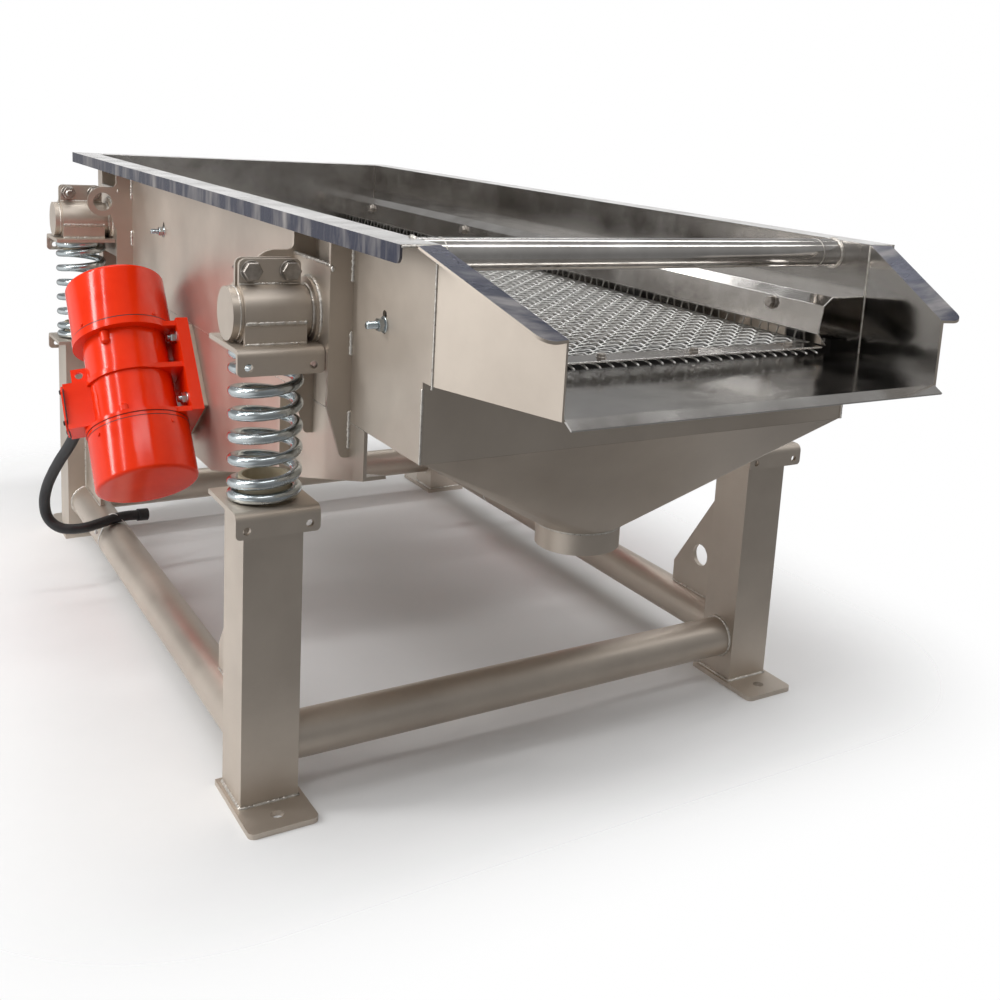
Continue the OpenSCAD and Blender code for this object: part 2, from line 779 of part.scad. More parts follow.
module front_cross_pipe() {
    color(polished) translate([-inner_x, -box_front + pipe_back, rail_z - pipe_d / 2]) rotate([0, 90, 0])
        linear_extrude(2 * inner_x) ring(pipe_d, pipe_d - 2 * pipe_wall);
}

// Converging chute side with a flange turned outwards along its sloping top
module chute_side(s) {
    turn = atan2(chute_in, chute_l);
    run = norm([chute_in, chute_l]);
    root_h = rail_z - floor_z;
    fall = (root_h - chute_tip_h) / run;
    flange_h = sheet_t * norm([1, fall]);
    start = sheet_t * tan(turn);
    start_h = root_h - start * fall;
    top = [[start, start_h], [run, chute_tip_h]];
    color(steel) side(s) translate([-wall_x, -box_front, floor_z]) rotate([0, 0, turn - 90]) {
        along_y(0, sheet_t) polygon(concat(top, [[run, 0], [start, 0]]));
        difference() {
            along_y(-chute_flange, chute_flange + sheet_t)
                polygon(concat(top, [[run, chute_tip_h - flange_h], [start, start_h - flange_h]]));
            translate([run - chute_flange_r, chute_flange_r - chute_flange, 0])
                linear_extrude(root_h) rotate(-90) corner_waste(chute_flange_r);
        }
    }
}

// Chute floor between the sides, with its lip bent down at the tip
module chute_floor() {
    tip_y = -box_front - chute_l;
    skew = sheet_t / cos(atan2(chute_in, chute_l));
    tip_x = wall_x - chute_in - skew;
    root_x = wall_x - skew;
    top_z = floor_z + floor_t;
    lip = [[tip_y - lip_l, top_z - lip_drop], [tip_y, top_z], [tip_y + floor_t, top_z]];
    color(polished) {
        translate([0, 0, floor_z]) linear_extrude(floor_t) {
            polygon([[-root_x, -box_front], [root_x, -box_front], [tip_x, tip_y], [-tip_x, tip_y]]);
            translate([-root_x, -box_front]) square([2 * root_x, wall_notch]);
        }
        along_x(-tip_x, 2 * tip_x) polygon(folded(lip, -floor_t));
    }
}

// Front panel under the chute floor, and a frame round the hopper's mouth
module hopper_collar() {
    color(steel) translate([-inner_x, -notch_front, wall_z]) {
        cube([2 * inner_x, hopper_t, floor_z - wall_z]);
        difference() {
            cube([2 * inner_x, hopper_l, pan_rise]);
            translate([hopper_t, hopper_t, -1])
                cube([2 * (inner_x - hopper_t), hopper_l - 2 * hopper_t, pan_rise + 2]);
        }
    }
}

// Rectangle at the mouth blended into the circle of the spout
module mouth_to_spout(w, l, d, top, bottom) {
    skin = 0.1;
    hull() {
        translate([-w / 2, hopper_y - l / 2, top - skin]) cube([w, l, skin]);
        translate([0, hopper_y, bottom]) cylinder(d = d, h = skin);
    }
}

module hopper_cone() {
    mouth_w = box_w - 2 * plate_t - 2 * cone_gap;
    slant_t = 1.5 * hopper_t;
    color(steel) difference() {
        mouth_to_spout(mouth_w, hopper_l, spout_d, wall_z, spout_top);
        mouth_to_spout(mouth_w - 2 * slant_t, hopper_l - 2 * slant_t, spout_d - 2 * spout_wall,
            wall_z + 1, spout_top - 1);
    }
}

module hopper_spout() {
    color(steel) translate([0, hopper_y, spout_top - spout_l])
        linear_extrude(spout_l) ring(spout_d, spout_d - 2 * spout_wall);
}

// Places a piece of a motor: Z along the shaft, +X towards the wall, +Y down towards the feed end
module motor(s) {
    side(s) translate([-motor_x, motor_y, motor_z]) rotate([-motor_lean, 0, 0]) children();
}

// Barrel with end rings, webs and the foot that bolts to the wall
module motor_body(s) {
    web_w = foot_plate_w - web_t;
    color(paint) motor(s) difference() {
        union() {
            translate([0, 0, -barrel_down]) cylinder(d = barrel_d, h = barrel_down + barrel_up);
            translate([0, 0, -web_t / 2]) cylinder(d = barrel_d + web_t, h = web_t);
            translate([0, 0, barrel_up]) cylinder(d = ring_d, h = ring_up);
            translate([0, 0, -barrel_down - ring_down]) cylinder(d = ring_d, h = ring_down);
            translate([foot_face - foot_plate_t, -foot_plate_w / 2, foot_low])
                cube([foot_plate_t, foot_plate_w, foot_plate_l]);
            for (z = [foot_low, -web_t / 2, barrel_up])
                translate([0, -web_w / 2, z]) cube([foot_face - foot_plate_t / 2, web_w, web_t]);
            rotate([0, 0, 180 - box_turn]) translate([0, -lug_t / 2, lug_z - lug_d])
                cube([lug_out, lug_t, 2 * lug_d]);
        }
        for (y = [-1, 1], z = [-1, 1])
            translate([foot_face - foot_plate_t - 1, y * foot_hole_w / 2, z * foot_hole_l / 2])
                rotate([0, 90, 0]) cylinder(d = foot_hole_d, h = foot_plate_t + 2);
        rotate([0, 0, 180 - box_turn]) translate([lug_out - lug_d, 0, lug_z]) rotate([90, 0, 0])
            cylinder(d = lug_d, h = 3 * lug_t, center = true);
    }
}

// A closed cup with a rounded edge, its open side at z = 0
module end_cover(l) {
    rotate_extrude() {
        square([cover_d / 2, l - cover_edge_r]);
        square([cover_d / 2 - cover_edge_r, l]);
        translate([cover_d / 2 - cover_edge_r, l - cover_edge_r]) intersection() {
            circle(cover_edge_r);
            square(cover_edge_r);
        }
    }
}

module motor_covers(s) {
    color(paint) motor(s) {
        translate([0, 0, barrel_up + ring_up]) end_cover(cover_up);
        translate([0, 0, -barrel_down - ring_down]) rotate([180, 0, 0]) end_cover(cover_down);
    }
}

// Plate on the wall that the motor's foot is bolted to
module motor_bases() {
    color(steel) for (s = [-1, 1]) motor(s) difference() {
        translate([foot_face, base_inset - foot_plate_w / 2, foot_low + base_inset])
            cube([base_t, foot_plate_w - 2 * base_inset, foot_plate_l - 2 * base_inset]);
        for (y = [-1, 1], z = [-1, 1])
            translate([foot_face - 1, y * foot_hole_w / 2, z * foot_hole_l / 2])
                rotate([0, 90, 0]) cylinder(d = foot_hole_d, h = base_t + 2);
    }
}

// Terminal box on the barrel with an eight-sided lid, and the gland that the conduit comes out of
module terminal_boxes() {
    low = -barrel_down + ring_down;
    lid_x = box_side / 2 + box_lid_margin;
    lid_y = box_l / 2;
    lid = [[lid_x, box_lid_cut - lid_y], [lid_x, lid_y - box_lid_cut], [lid_x - box_lid_cut, lid_y],
        [box_lid_cut - lid_x, lid_y], [-lid_x, lid_y - box_lid_cut], [-lid_x, box_lid_cut - lid_y],
        [box_lid_cut - lid_x, -lid_y], [lid_x - box_lid_cut, -lid_y]];
    color(paint) for (s = [-1, 1]) motor(s) {
        rotate([0, 0, 180 - box_turn]) difference() {
            union() {
                translate([0, -box_side / 2, low]) cube([box_face, box_side, box_l]);
                translate([0, 0, low + lid_y]) along_x(box_face, box_lid_t) polygon(lid);
            }
            translate([0, 0, low - 1]) cylinder(d = barrel_d, h = box_l + 2);
            translate([0, 0, -web_t / 2]) cylinder(d = barrel_d + web_t, h = web_t);
        }
        translate(gland_start) rotate([-90, 0, 0]) cylinder(d = gland_d, h = gland_l);
    }
}

// Round tube through the points, its rings square to the way, open to no side
module swept_tube(points, d, sides) {
    last = len(points) - 1;
    up = [0, 0, 1];
    rings = [for (i = [0:last])
        let (way = unit(points[min(i + 1, last)] - points[max(i - 1, 0)]), across = unit(cross(way, up)))
        let (over = cross(across, way))
        for (j = [0:sides - 1])
            points[i] + d / 2 * (cos(360 * j / sides) * across + sin(360 * j / sides) * over)];
    walls = [for (i = [0:last - 1], j = [0:sides - 1])
        let (a = i * sides + j, b = i * sides + (j + 1) % sides)
        each [[b, b + sides, a], [a, b + sides, a + sides]]];
    start = [for (j = [sides - 1:-1:0]) j];
    end = [for (j = [0:sides - 1]) last * sides + j];
    polyhedron(rings, concat(walls, [start, end]), convexity = 6);
}

module motor_cable(s) {
    color("black") side(s) swept_tube(cable_points, cable_d, cable_sides);
}

// Bush that closes the conduit's free end
module cable_bush(s) {
    last = len(cable_points) - 1;
    way = unit(cable_points[last] - cable_points[last - 1]);
    color("black") side(s) translate(cable_points[last])
        rotate([0, acos(way[2]), atan2(way[1], way[0])]) cylinder(d = bush_d, h = bush_l);
}

leg(-1, -1);  // front_left_leg
leg(1, -1);  // front_right_leg
leg(-1, 1);  // rear_left_leg
leg(1, 1);  // rear_right_leg
foot_plates();
lower_spring_seats();
lifting_gussets();
cross_tube(-1);  // front_cross_tube
cross_tube(1);  // rear_cross_tube
side_tube(-1);  // left_side_tube
side_tube(1);  // right_side_tube
spring(-1, -1);  // front_left_spring
spring(1, -1);  // front_right_spring
spring(-1, 1);  // rear_left_spring
spring(1, 1);  // rear_right_spring
spring_guides();
spring_bracket(-1, -1);  // front_left_spring_bracket
spring_bracket(1, -1);  // front_right_spring_bracket
spring_bracket(-1, 1);  // rear_left_spring_bracket
spring_bracket(1, 1);  // rear_right_spring_bracket
trunnions();
pillar(-1, -1);  // front_left_pillar
pillar(1, -1);  // front_right_pillar
pillar(-1, 1);  // rear_left_pillar
pillar(1, 1);  // rear_right_pillar
side_wall(-1);  // left_side_wall
side_wall(1);  // right_side_wall
rear_wall();
motor_plate(-1);  // left_motor_plate
motor_plate(1);  // right_motor_plate
undersize_pan();
deck_support_bars();
screen_mesh();
front_clamp_bar();
hold_down_cover(-1);  // left_hold_down_cover
hold_down_cover(1);  // right_hold_down_cover
front_cross_pipe();
chute_floor();
chute_side(-1);  // left_chute_side
chute_side(1);  // right_chute_side
hopper_collar();
hopper_cone();
hopper_spout();
motor_body(-1);  // left_motor_body
motor_body(1);  // right_motor_body
motor_covers(-1);  // left_motor_covers
motor_covers(1);  // right_motor_covers
motor_bases();
terminal_boxes();
motor_cable(-1);  // left_motor_cable
motor_cable(1);  // right_motor_cable
cable_bush(-1);  // left_cable_bush
cable_bush(1);  // right_cable_bush
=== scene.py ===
import json
import math
import random

import bpy
from mathutils import Matrix, Vector


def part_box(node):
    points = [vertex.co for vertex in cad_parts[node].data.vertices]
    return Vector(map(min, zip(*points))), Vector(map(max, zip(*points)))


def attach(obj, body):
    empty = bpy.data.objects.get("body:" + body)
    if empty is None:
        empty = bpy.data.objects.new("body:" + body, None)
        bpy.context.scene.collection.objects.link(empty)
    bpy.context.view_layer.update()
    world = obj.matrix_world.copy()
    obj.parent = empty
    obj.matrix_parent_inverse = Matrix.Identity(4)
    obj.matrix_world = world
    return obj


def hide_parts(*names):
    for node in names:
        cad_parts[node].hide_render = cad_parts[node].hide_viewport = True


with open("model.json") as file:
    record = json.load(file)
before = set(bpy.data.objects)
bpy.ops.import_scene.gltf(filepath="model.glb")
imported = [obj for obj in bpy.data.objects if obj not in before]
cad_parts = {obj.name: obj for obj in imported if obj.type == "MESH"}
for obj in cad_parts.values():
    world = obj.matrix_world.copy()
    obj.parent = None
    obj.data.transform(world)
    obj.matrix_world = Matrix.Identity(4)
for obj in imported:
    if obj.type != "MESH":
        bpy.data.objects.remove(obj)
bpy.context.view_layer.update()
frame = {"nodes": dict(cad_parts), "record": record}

bl_info = {
    "name": "Vibrating screen",
    "version": (1, 0, 0),
    "blender": (4, 5, 0),
    "location": "3D View > Sidebar > Screen",
    "description": "Wires, springs, conduits, fasteners, welds, finishes and stage of a linear vibrating screen",
    "category": "Object",
}

# Places read from the CAD part, in metres
LEG_LOW, LEG_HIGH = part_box("front_left_leg")
SPRING_LOW, SPRING_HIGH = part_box("front_left_spring")
TRUNNION_LOW, TRUNNION_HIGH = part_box("trunnions")
WALL_LOW, WALL_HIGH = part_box("left_side_wall")
PLATE_LOW, PLATE_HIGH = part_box("left_motor_plate")
MESH_LOW, MESH_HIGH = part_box("screen_mesh")
BAR_LOW, BAR_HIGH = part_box("front_clamp_bar")
PIPE_LOW, PIPE_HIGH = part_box("front_cross_pipe")
SPOUT_LOW, SPOUT_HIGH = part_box("hopper_spout")
TUBE_LOW, TUBE_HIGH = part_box("left_side_tube")
CHUTE_LOW, CHUTE_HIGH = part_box("chute_floor")
LEG_X = -(LEG_LOW.x + LEG_HIGH.x) / 2
LEG_Y = -(LEG_LOW.y + LEG_HIGH.y) / 2
LEG_HALF = (LEG_HIGH.x - LEG_LOW.x) / 2
TUBE_Z = (TUBE_LOW.z + TUBE_HIGH.z) / 2
TUBE_R = (TUBE_HIGH.z - TUBE_LOW.z) / 2
AXIS_Z = (TRUNNION_LOW.z + TRUNNION_HIGH.z) / 2
INNER_X = -WALL_HIGH.x
SHEET = 0.004
WALL_X = INNER_X + SHEET
MOTOR_PLACE = Vector((-0.558, 0.090, 0.552))
MOTOR_LEAN = math.radians(38)
LID_TURN = math.radians(180 - 14)
CORNERS = {"front_left": (-1, -1), "front_right": (1, -1), "rear_left": (-1, 1), "rear_right": (1, 1)}
CONDUIT_WAY = [
    (-0.665, 0.123, 0.443), (-0.667, 0.160, 0.414), (-0.672, 0.200, 0.381), (-0.680, 0.245, 0.343),
    (-0.688, 0.286, 0.303), (-0.695, 0.320, 0.262), (-0.698, 0.341, 0.222), (-0.694, 0.348, 0.186),
    (-0.682, 0.343, 0.163), (-0.662, 0.333, 0.150), (-0.636, 0.326, 0.147), (-0.608, 0.325, 0.148),
    (-0.580, 0.334, 0.150), (-0.555, 0.349, 0.150), (-0.530, 0.362, 0.150), (-0.504, 0.370, 0.149),
    (-0.480, 0.373, 0.147),
]


class Shape:
    """Vertices and faces of one piece, gathered from simpler bodies."""

    def __init__(self):
        self.verts = []
        self.faces = []

    def add(self, body, matrix=None):
        verts, faces = body
        start = len(self.verts)
        for v in verts:
            self.verts.append(matrix @ Vector(v) if matrix else Vector(v))
        for f in faces:
            self.faces.append([start + i for i in f])

    def mirrored(self, sx, sy):
        verts = [Vector((v.x * sx, v.y * sy, v.z)) for v in self.verts]
        faces = [f[::-1] for f in self.faces] if sx * sy < 0 else self.faces
        return verts, faces

    def piece(self, name, material, smooth=30.0):
        mesh = bpy.data.meshes.new(name)
        mesh.from_pydata(self.verts, [], self.faces)
        mesh.update()
        mesh.materials.append(material)
        mesh.shade_smooth()
        mesh.set_sharp_from_angle(angle=math.radians(smooth))
        obj = bpy.data.objects.new(name, mesh)
        bpy.context.scene.collection.objects.link(obj)
        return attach(obj, "root")


def at_corners(local):
    """The four images of a shape drawn for a corner: +X outwards across, +Y outwards along the machine."""
    whole = Shape()
    placed = Shape()
    placed.add((local.verts, local.faces), Matrix.Translation((LEG_X, LEG_Y, 0)))
    for sx, sy in CORNERS.values():
        whole.add(placed.mirrored(sx, sy))
    return whole


def both_sides(left):
    """A shape drawn on the left side, with its mirror image on the right."""
    whole = Shape()
    whole.add((left.verts, left.faces))
    whole.add(left.mirrored(-1, 1))
    return whole


def along(origin, direction):
    """Matrix that takes Z to the direction and the origin to the place."""
    turn = Vector(direction).to_track_quat("Z", "Y").to_matrix().to_4x4()
    return Matrix.Translation(origin) @ turn


def motor_frame():
    """Motor's own frame on the left side: Z along the shaft, +X towards the wall."""
    return Matrix.Translation(MOTOR_PLACE) @ Matrix.Rotation(-MOTOR_LEAN, 4, "X")


def lathe(profile, sides):
    """Body of revolution about Z through (radius, height) points, closed where the radius is 0."""
    verts = []
    rings = []
    for r, z in profile:
        if r <= 0:
            rings.append([len(verts)])
            verts.append((0, 0, z))
        else:
            rings.append([len(verts) + i for i in range(sides)])
            for i in range(sides):
                a = math.tau * i / sides
                verts.append((r * math.cos(a), r * math.sin(a), z))
    faces = []
    for low, high in zip(rings, rings[1:]):
        for i in range(sides):
            j = (i + 1) % sides
            quad = [low[i % len(low)], low[j % len(low)], high[j % len(high)], high[i % len(high)]]
            face = [v for k, v in enumerate(quad) if v not in quad[:k]]
            if len(face) > 2:
                faces.append(face)
    return verts, faces


def sweep(points, radii, sides, closed=False):
    """Round bar along the points with a radius for each point."""
    points = [Vector(p) for p in points]
    count = len(points)
    ways = []
    for i in range(count):
        a = points[i - 1] if i or closed else points[0]
        b = points[(i + 1) % count] if i < count - 1 or closed else points[-1]
        ways.append((b - a).normalized())
    side = ways[0].orthogonal().normalized()
    verts = []
    for p, way, r in zip(points, ways, radii):
        side = (side - way * side.dot(way)).normalized()
        over = way.cross(side)
        for j in range(sides):
            a = math.tau * j / sides
            verts.append(p + r * (math.cos(a) * side + math.sin(a) * over))
    faces = []
    for i in range(count if closed else count - 1):
        for j in range(sides):
            a, b = i * sides + j, i * sides + (j + 1) % sides
            c, d = ((i + 1) % count) * sides + (j + 1) % sides, ((i + 1) % count) * sides + j
            faces.append([a, b, c, d])
    if not closed:
        faces.append(list(range(sides))[::-1])
        faces.append([(count - 1) * sides + j for j in range(sides)])
    return verts, faces


def block(low, high):
    """Rectangular body between two corners."""
    (x0, y0, z0), (x1, y1, z1) = low, high
    verts = [(x0, y0, z0), (x1, y0, z0), (x1, y1, z0), (x0, y1, z0),
             (x0, y0, z1), (x1, y0, z1), (x1, y1, z1), (x0, y1, z1)]
    faces = [[3, 2, 1, 0], [4, 5, 6, 7], [0, 1, 5, 4], [1, 2, 6, 5], [2, 3, 7, 6], [3, 0, 4, 7]]
    return verts, faces


def prism(outline, low, high):
    """Outline in X and Y raised from one height to another."""
    n = len(outline)
    verts = [(x, y, low) for x, y in outline] + [(x, y, high) for x, y in outline]
    faces = [list(range(n))[::-1], list(range(n, 2 * n))]
    faces += [[i, (i + 1) % n, n + (i + 1) % n, n + i] for i in range(n)]
    return verts, faces


def washer(hole, outer, t):
    """Flat ring with a broken edge, standing on z = 0."""
    e = t / 4
    inside, rim = hole / 2, outer / 2
    return lathe([(inside, 0), (rim, 0), (rim, t - e), (rim - e, t), (inside, t), (inside, 0)], 28)


def hexagon(flats, height, base=0.0):
    """Chamfered hexagon, such as a bolt head or a nut."""
    r = flats / math.sqrt(3)
    top = base + height
    chamfer = 0.12 * flats * 0.577
    return lathe([(0, base), (r, base), (r, top - chamfer), (0.90 * r, top), (0, top)], 6)


def thread(d, start, end):
    """Threaded rod end with a chamfered tip."""
    pitch = 0.12 * d
    profile = [(0, start)]
    z = start
    while z < end - pitch:
        profile += [(0.435 * d, z), (0.5 * d, z + 0.5 * pitch)]
        z += pitch
    profile += [(0.435 * d, end - 0.5 * pitch), (0.36 * d, end), (0, end)]
    return lathe(profile, 16)


def add_hexagon(shape, m, d, pad, flats, height, rim, hole=1.05):
    """Washer with a bolt head or nut on it. All but the washer's thickness, the pad, are shares of the thread."""
    shape.add(washer(hole * d, rim * d, pad), m)
    shape.add(hexagon(flats * d, height * d, pad), m)


def bead(points, r, rng, closed=False):
    """Weld bead along straight stretches between the points, with the ripples of its runs."""
    points = [Vector(p) for p in points]
    stretches = list(zip(points, points[1:] + points[:1] if closed else points[1:]))
    way = []
    for a, b in stretches:
        steps = max(2, int((b - a).length / (0.7 * r)))
        way += [a.lerp(b, i / steps) for i in range(steps)]
    if not closed:
        way.append(points[-1])
    radii = []
    for i in range(len(way)):
        ripple = 0.12 * math.sin(i * 2.1) + rng.uniform(-0.12, 0.12)
        radii.append(r * (0.95 + ripple))
    if not closed:
        radii[0] *= 0.5
        radii[-1] *= 0.5
    return sweep(way, radii, 7, closed)


def circle(centre, u, v, r, count):
    """Points on a circle in the plane of two unit vectors."""
    centre, u, v = Vector(centre), Vector(u), Vector(v)
    return [centre + r * (math.cos(math.tau * i / count) * u + math.sin(math.tau * i / count) * v)
            for i in range(count)]


def smooth_way(points, steps):
    """Catmull-Rom way through the points."""
    p = [Vector(q) for q in points]
    p = [2 * p[0] - p[1]] + p + [2 * p[-1] - p[-2]]
    way = []
    for a, b, c, d in zip(p, p[1:], p[2:], p[3:]):
        for i in range(steps):
            t = i / steps
            way.append(0.5 * (2 * b + (c - a) * t + (2 * a - 5 * b + 4 * c - d) * t * t
                              + (3 * b - a - 3 * c + d) * t ** 3))
    way.append(p[-2])
    return way


def spaced(way, gap):
    """Points at even distances along a way."""
    total = sum((b - a).length for a, b in zip(way, way[1:]))
    count = max(2, round(total / gap))
    step = total / count
    out = [way[0]]
    left = step
    for a, b in zip(way, way[1:]):
        d = (b - a).length
        done = 0.0
        while d - done >= left - 1e-9 and len(out) < count:
            done += left
            out.append(a.lerp(b, done / d))
            left = step
        left -= d - done
    out.append(way[-1])
    return out, total


def finish(name, dark, light, metallic, rough, mottle=6.0, grain=0.0, grain_scale=400.0, stretch=(1, 1, 1),
           wave=0.0, gloss=0.5, streak=(1, 1, 1), share=(0.30, 0.70)):
    """Procedural material: mottled or streaked colour, uneven roughness, and a grain or wave in the surface."""
    mat = bpy.data.materials.get(name)
    if mat:
        return mat
    mat = bpy.data.materials.new(name)
    mat.use_nodes = True
    nodes, links = mat.node_tree.nodes, mat.node_tree.links
    shader = nodes["Principled BSDF"]
    shader.inputs["Metallic"].default_value = metallic
    shader.inputs["Specular IOR Level"].default_value = gloss
    place = nodes.new("ShaderNodeTexCoord")
    noise = nodes.new("ShaderNodeTexNoise")
    noise.inputs["Scale"].default_value = mottle
    noise.inputs["Detail"].default_value = 7.0
    noise.inputs["Roughness"].default_value = 0.62
    drawn = nodes.new("ShaderNodeMapping")
    drawn.inputs["Scale"].default_value = streak
    links.new(place.outputs["Object"], drawn.inputs["Vector"])
    links.new(drawn.outputs["Vector"], noise.inputs["Vector"])
    ramp = nodes.new("ShaderNodeValToRGB")
    ramp.color_ramp.elements[0].position = share[0]
    ramp.color_ramp.elements[0].color = (*dark, 1)
    ramp.color_ramp.elements[1].position = share[1]
    ramp.color_ramp.elements[1].color = (*light, 1)
    links.new(noise.outputs["Fac"], ramp.inputs["Fac"])
    links.new(ramp.outputs["Color"], shader.inputs["Base Color"])
    spread = nodes.new("ShaderNodeMapRange")
    spread.inputs["From Min"].default_value = 0.30
    spread.inputs["From Max"].default_value = 0.70
    spread.inputs["To Min"].default_value = rough[0]
    spread.inputs["To Max"].default_value = rough[1]
    links.new(noise.outputs["Fac"], spread.inputs["Value"])
    links.new(spread.outputs["Result"], shader.inputs["Roughness"])
    normal = None
    if grain:
        turn = nodes.new("ShaderNodeMapping")
        turn.inputs["Scale"].default_value = stretch
        links.new(place.outputs["Object"], turn.inputs["Vector"])
        fine = nodes.new("ShaderNodeTexNoise")
        fine.inputs["Scale"].default_value = grain_scale
        fine.inputs["Detail"].default_value = 3.0
        links.new(turn.outputs["Vector"], fine.inputs["Vector"])
        bump = nodes.new("ShaderNodeBump")
        bump.inputs["Strength"].default_value = grain
        bump.inputs["Distance"].default_value = 0.0005
        links.new(fine.outputs["Fac"], bump.inputs["Height"])
        normal = bump
    if wave:
        broad = nodes.new("ShaderNodeTexNoise")
        broad.inputs["Scale"].default_value = 4.0
        broad.inputs["Detail"].default_value = 1.5
        links.new(place.outputs["Object"], broad.inputs["Vector"])
        swell = nodes.new("ShaderNodeBump")
        swell.inputs["Strength"].default_value = wave
        swell.inputs["Distance"].default_value = 0.02
        links.new(broad.outputs["Fac"], swell.inputs["Height"])
        if normal:
            links.new(normal.outputs["Normal"], swell.inputs["Normal"])
        normal = swell
    if normal:
        links.new(normal.outputs["Normal"], shader.inputs["Normal"])
    return mat


def blasted_steel():
    return finish("bead_blasted_stainless", (0.53, 0.465, 0.40), (0.64, 0.57, 0.495), 0.9, (0.40, 0.52), 5.0,
                  0.25, 900.0)


def polished_steel():
    return finish("polished_stainless", (0.50, 0.475, 0.45), (0.64, 0.62, 0.595), 1.0, (0.09, 0.22), 9.0, 0.05, 60.0,
                  (1, 12, 1), 0.06)


def zinc_plate():
    return finish("zinc_plate", (0.42, 0.47, 0.49), (0.60, 0.64, 0.65), 1.0, (0.16, 0.30), 24.0)


def guide_plastic():
    return finish("guide_polymer", (0.60, 0.50, 0.34), (0.76, 0.68, 0.52), 0.0, (0.42, 0.55), 30.0)


def red_paint():
    return finish("gloss_red_paint", (0.80, 0.026, 0.002), (0.90, 0.038, 0.003), 0.0, (0.10, 0.18), 9.0,
                  0.10, 55.0, gloss=0.3)


def black_conduit():
    return finish("conduit_nylon", (0.012, 0.012, 0.013), (0.03, 0.03, 0.032), 0.0, (0.35, 0.5), 40.0)


def weld_metal():
    return finish("weld_metal", (0.50, 0.46, 0.41), (0.80, 0.77, 0.72), 0.95, (0.24, 0.45), 120.0, 0.5, 500.0)


def bolt_steel():
    return finish("bolt_steel", (0.30, 0.27, 0.24), (0.52, 0.48, 0.44), 1.0, (0.26, 0.42), 90.0)


def bright_wire():
    return finish("bright_wire", (0.52, 0.51, 0.49), (0.74, 0.73, 0.71), 0.8, (0.38, 0.50), 60.0)


def seam_black():
    return finish("seam_black", (0.010, 0.008, 0.008), (0.03, 0.02, 0.02), 0.0, (0.5, 0.7), 60.0)


def white_nylon():
    return finish("white_nylon", (0.72, 0.72, 0.70), (0.86, 0.86, 0.84), 0.0, (0.35, 0.45), 80.0)


def rubber_strip():
    return finish("rubber_strip", (0.012, 0.012, 0.012), (0.03, 0.029, 0.028), 0.0, (0.6, 0.8), 50.0)


def filmed_steel():
    return finish("filmed_steel", (0.012, 0.016, 0.045), (0.34, 0.32, 0.31), 0.5, (0.22, 0.42), 9.0, 0.05, 60.0,
                  streak=(0.6, 2.6, 0.6), share=(0.45, 0.72))


BEVELLED = ("_leg", "_tube", "motor_covers", "rear_wall", "clamp_bar", "hold_down_cover", "hopper_collar",
            "hopper_cone")
SLOT_FINISH = {
    "blasted_steel": blasted_steel,
    "polished_steel": polished_steel,
    "zinc_spring": zinc_plate,
    "guide_plastic": guide_plastic,
    "red_paint": red_paint,
    "black_conduit": black_conduit,
}


class WireSettings(bpy.types.PropertyGroup):
    wire_d: bpy.props.FloatProperty(name="Wire", description="Diameter of the mesh's wires", default=0.0034,
                                    unit="LENGTH")
    pitch: bpy.props.FloatProperty(name="Pitch", description="Distance between the wires, both ways", default=0.02374,
                                   unit="LENGTH")
    overhang: bpy.props.FloatProperty(name="Wire ends", description="How far the long wires show before the clamp bar",
                                      default=0.006, unit="LENGTH")


class SpringSettings(bpy.types.PropertyGroup):
    wire: bpy.props.FloatProperty(name="Wire", description="Wire diameter of a spring", default=0.018, unit="LENGTH")
    outside: bpy.props.FloatProperty(name="Outside", description="Outside diameter of a spring",
                                     default=SPRING_HIGH.x - SPRING_LOW.x, unit="LENGTH")
    height: bpy.props.FloatProperty(name="Height", description="Height between the seats",
                                    default=SPRING_HIGH.z - SPRING_LOW.z, unit="LENGTH")
    turns: bpy.props.FloatProperty(name="Turns", description="Number of turns with the closed ones", default=7.5)
    start: bpy.props.FloatProperty(name="Wire end", default=math.radians(120), subtype="ANGLE",
                                   description="Direction of the lower wire end, from the machine's right")


class ConduitSettings(bpy.types.PropertyGroup):
    diameter: bpy.props.FloatProperty(name="Diameter", description="Outside diameter of the conduit", default=0.025,
                                      unit="LENGTH")
    ripple: bpy.props.FloatProperty(name="Ripple", description="Depth of the conduit's ripples", default=0.0006,
                                    unit="LENGTH")
    tie_width: bpy.props.FloatProperty(name="Tie width", description="Width of the cable tie on the side tube",
                                       default=0.005, unit="LENGTH")


class BoltSettings(bpy.types.PropertyGroup):
    clamp_d: bpy.props.FloatProperty(name="Clamp bolt", description="Thread of the clamp bolts", default=0.018,
                                     unit="LENGTH")
    foot_d: bpy.props.FloatProperty(name="Motor bolt", description="Thread of the motor's foot bolts", default=0.016,
                                    unit="LENGTH")
    stud_d: bpy.props.FloatProperty(name="Stud", description="Thread of the hold-down studs", default=0.012,
                                    unit="LENGTH")
    bar_d: bpy.props.FloatProperty(name="Bar bolt", description="Thread of the clamp bar's bolts", default=0.008,
                                   unit="LENGTH")


class WeldSettings(bpy.types.PropertyGroup):
    frame_r: bpy.props.FloatProperty(name="Frame bead", description="Radius of the beads on the frame", default=0.0040,
                                     unit="LENGTH")
    bracket_r: bpy.props.FloatProperty(name="Bracket bead", description="Radius of the beads on brackets and pillars",
                                       default=0.0036, unit="LENGTH")
    sheet_r: bpy.props.FloatProperty(name="Sheet bead", description="Radius of the beads on sheet seams",
                                     default=0.0022, unit="LENGTH")
    edge: bpy.props.FloatProperty(name="Broken edge", description="Width of the broken edges of plates",
                                  default=0.0012, unit="LENGTH")
    seed: bpy.props.IntProperty(name="Seed", description="Seed of the beads' unevenness", default=7)


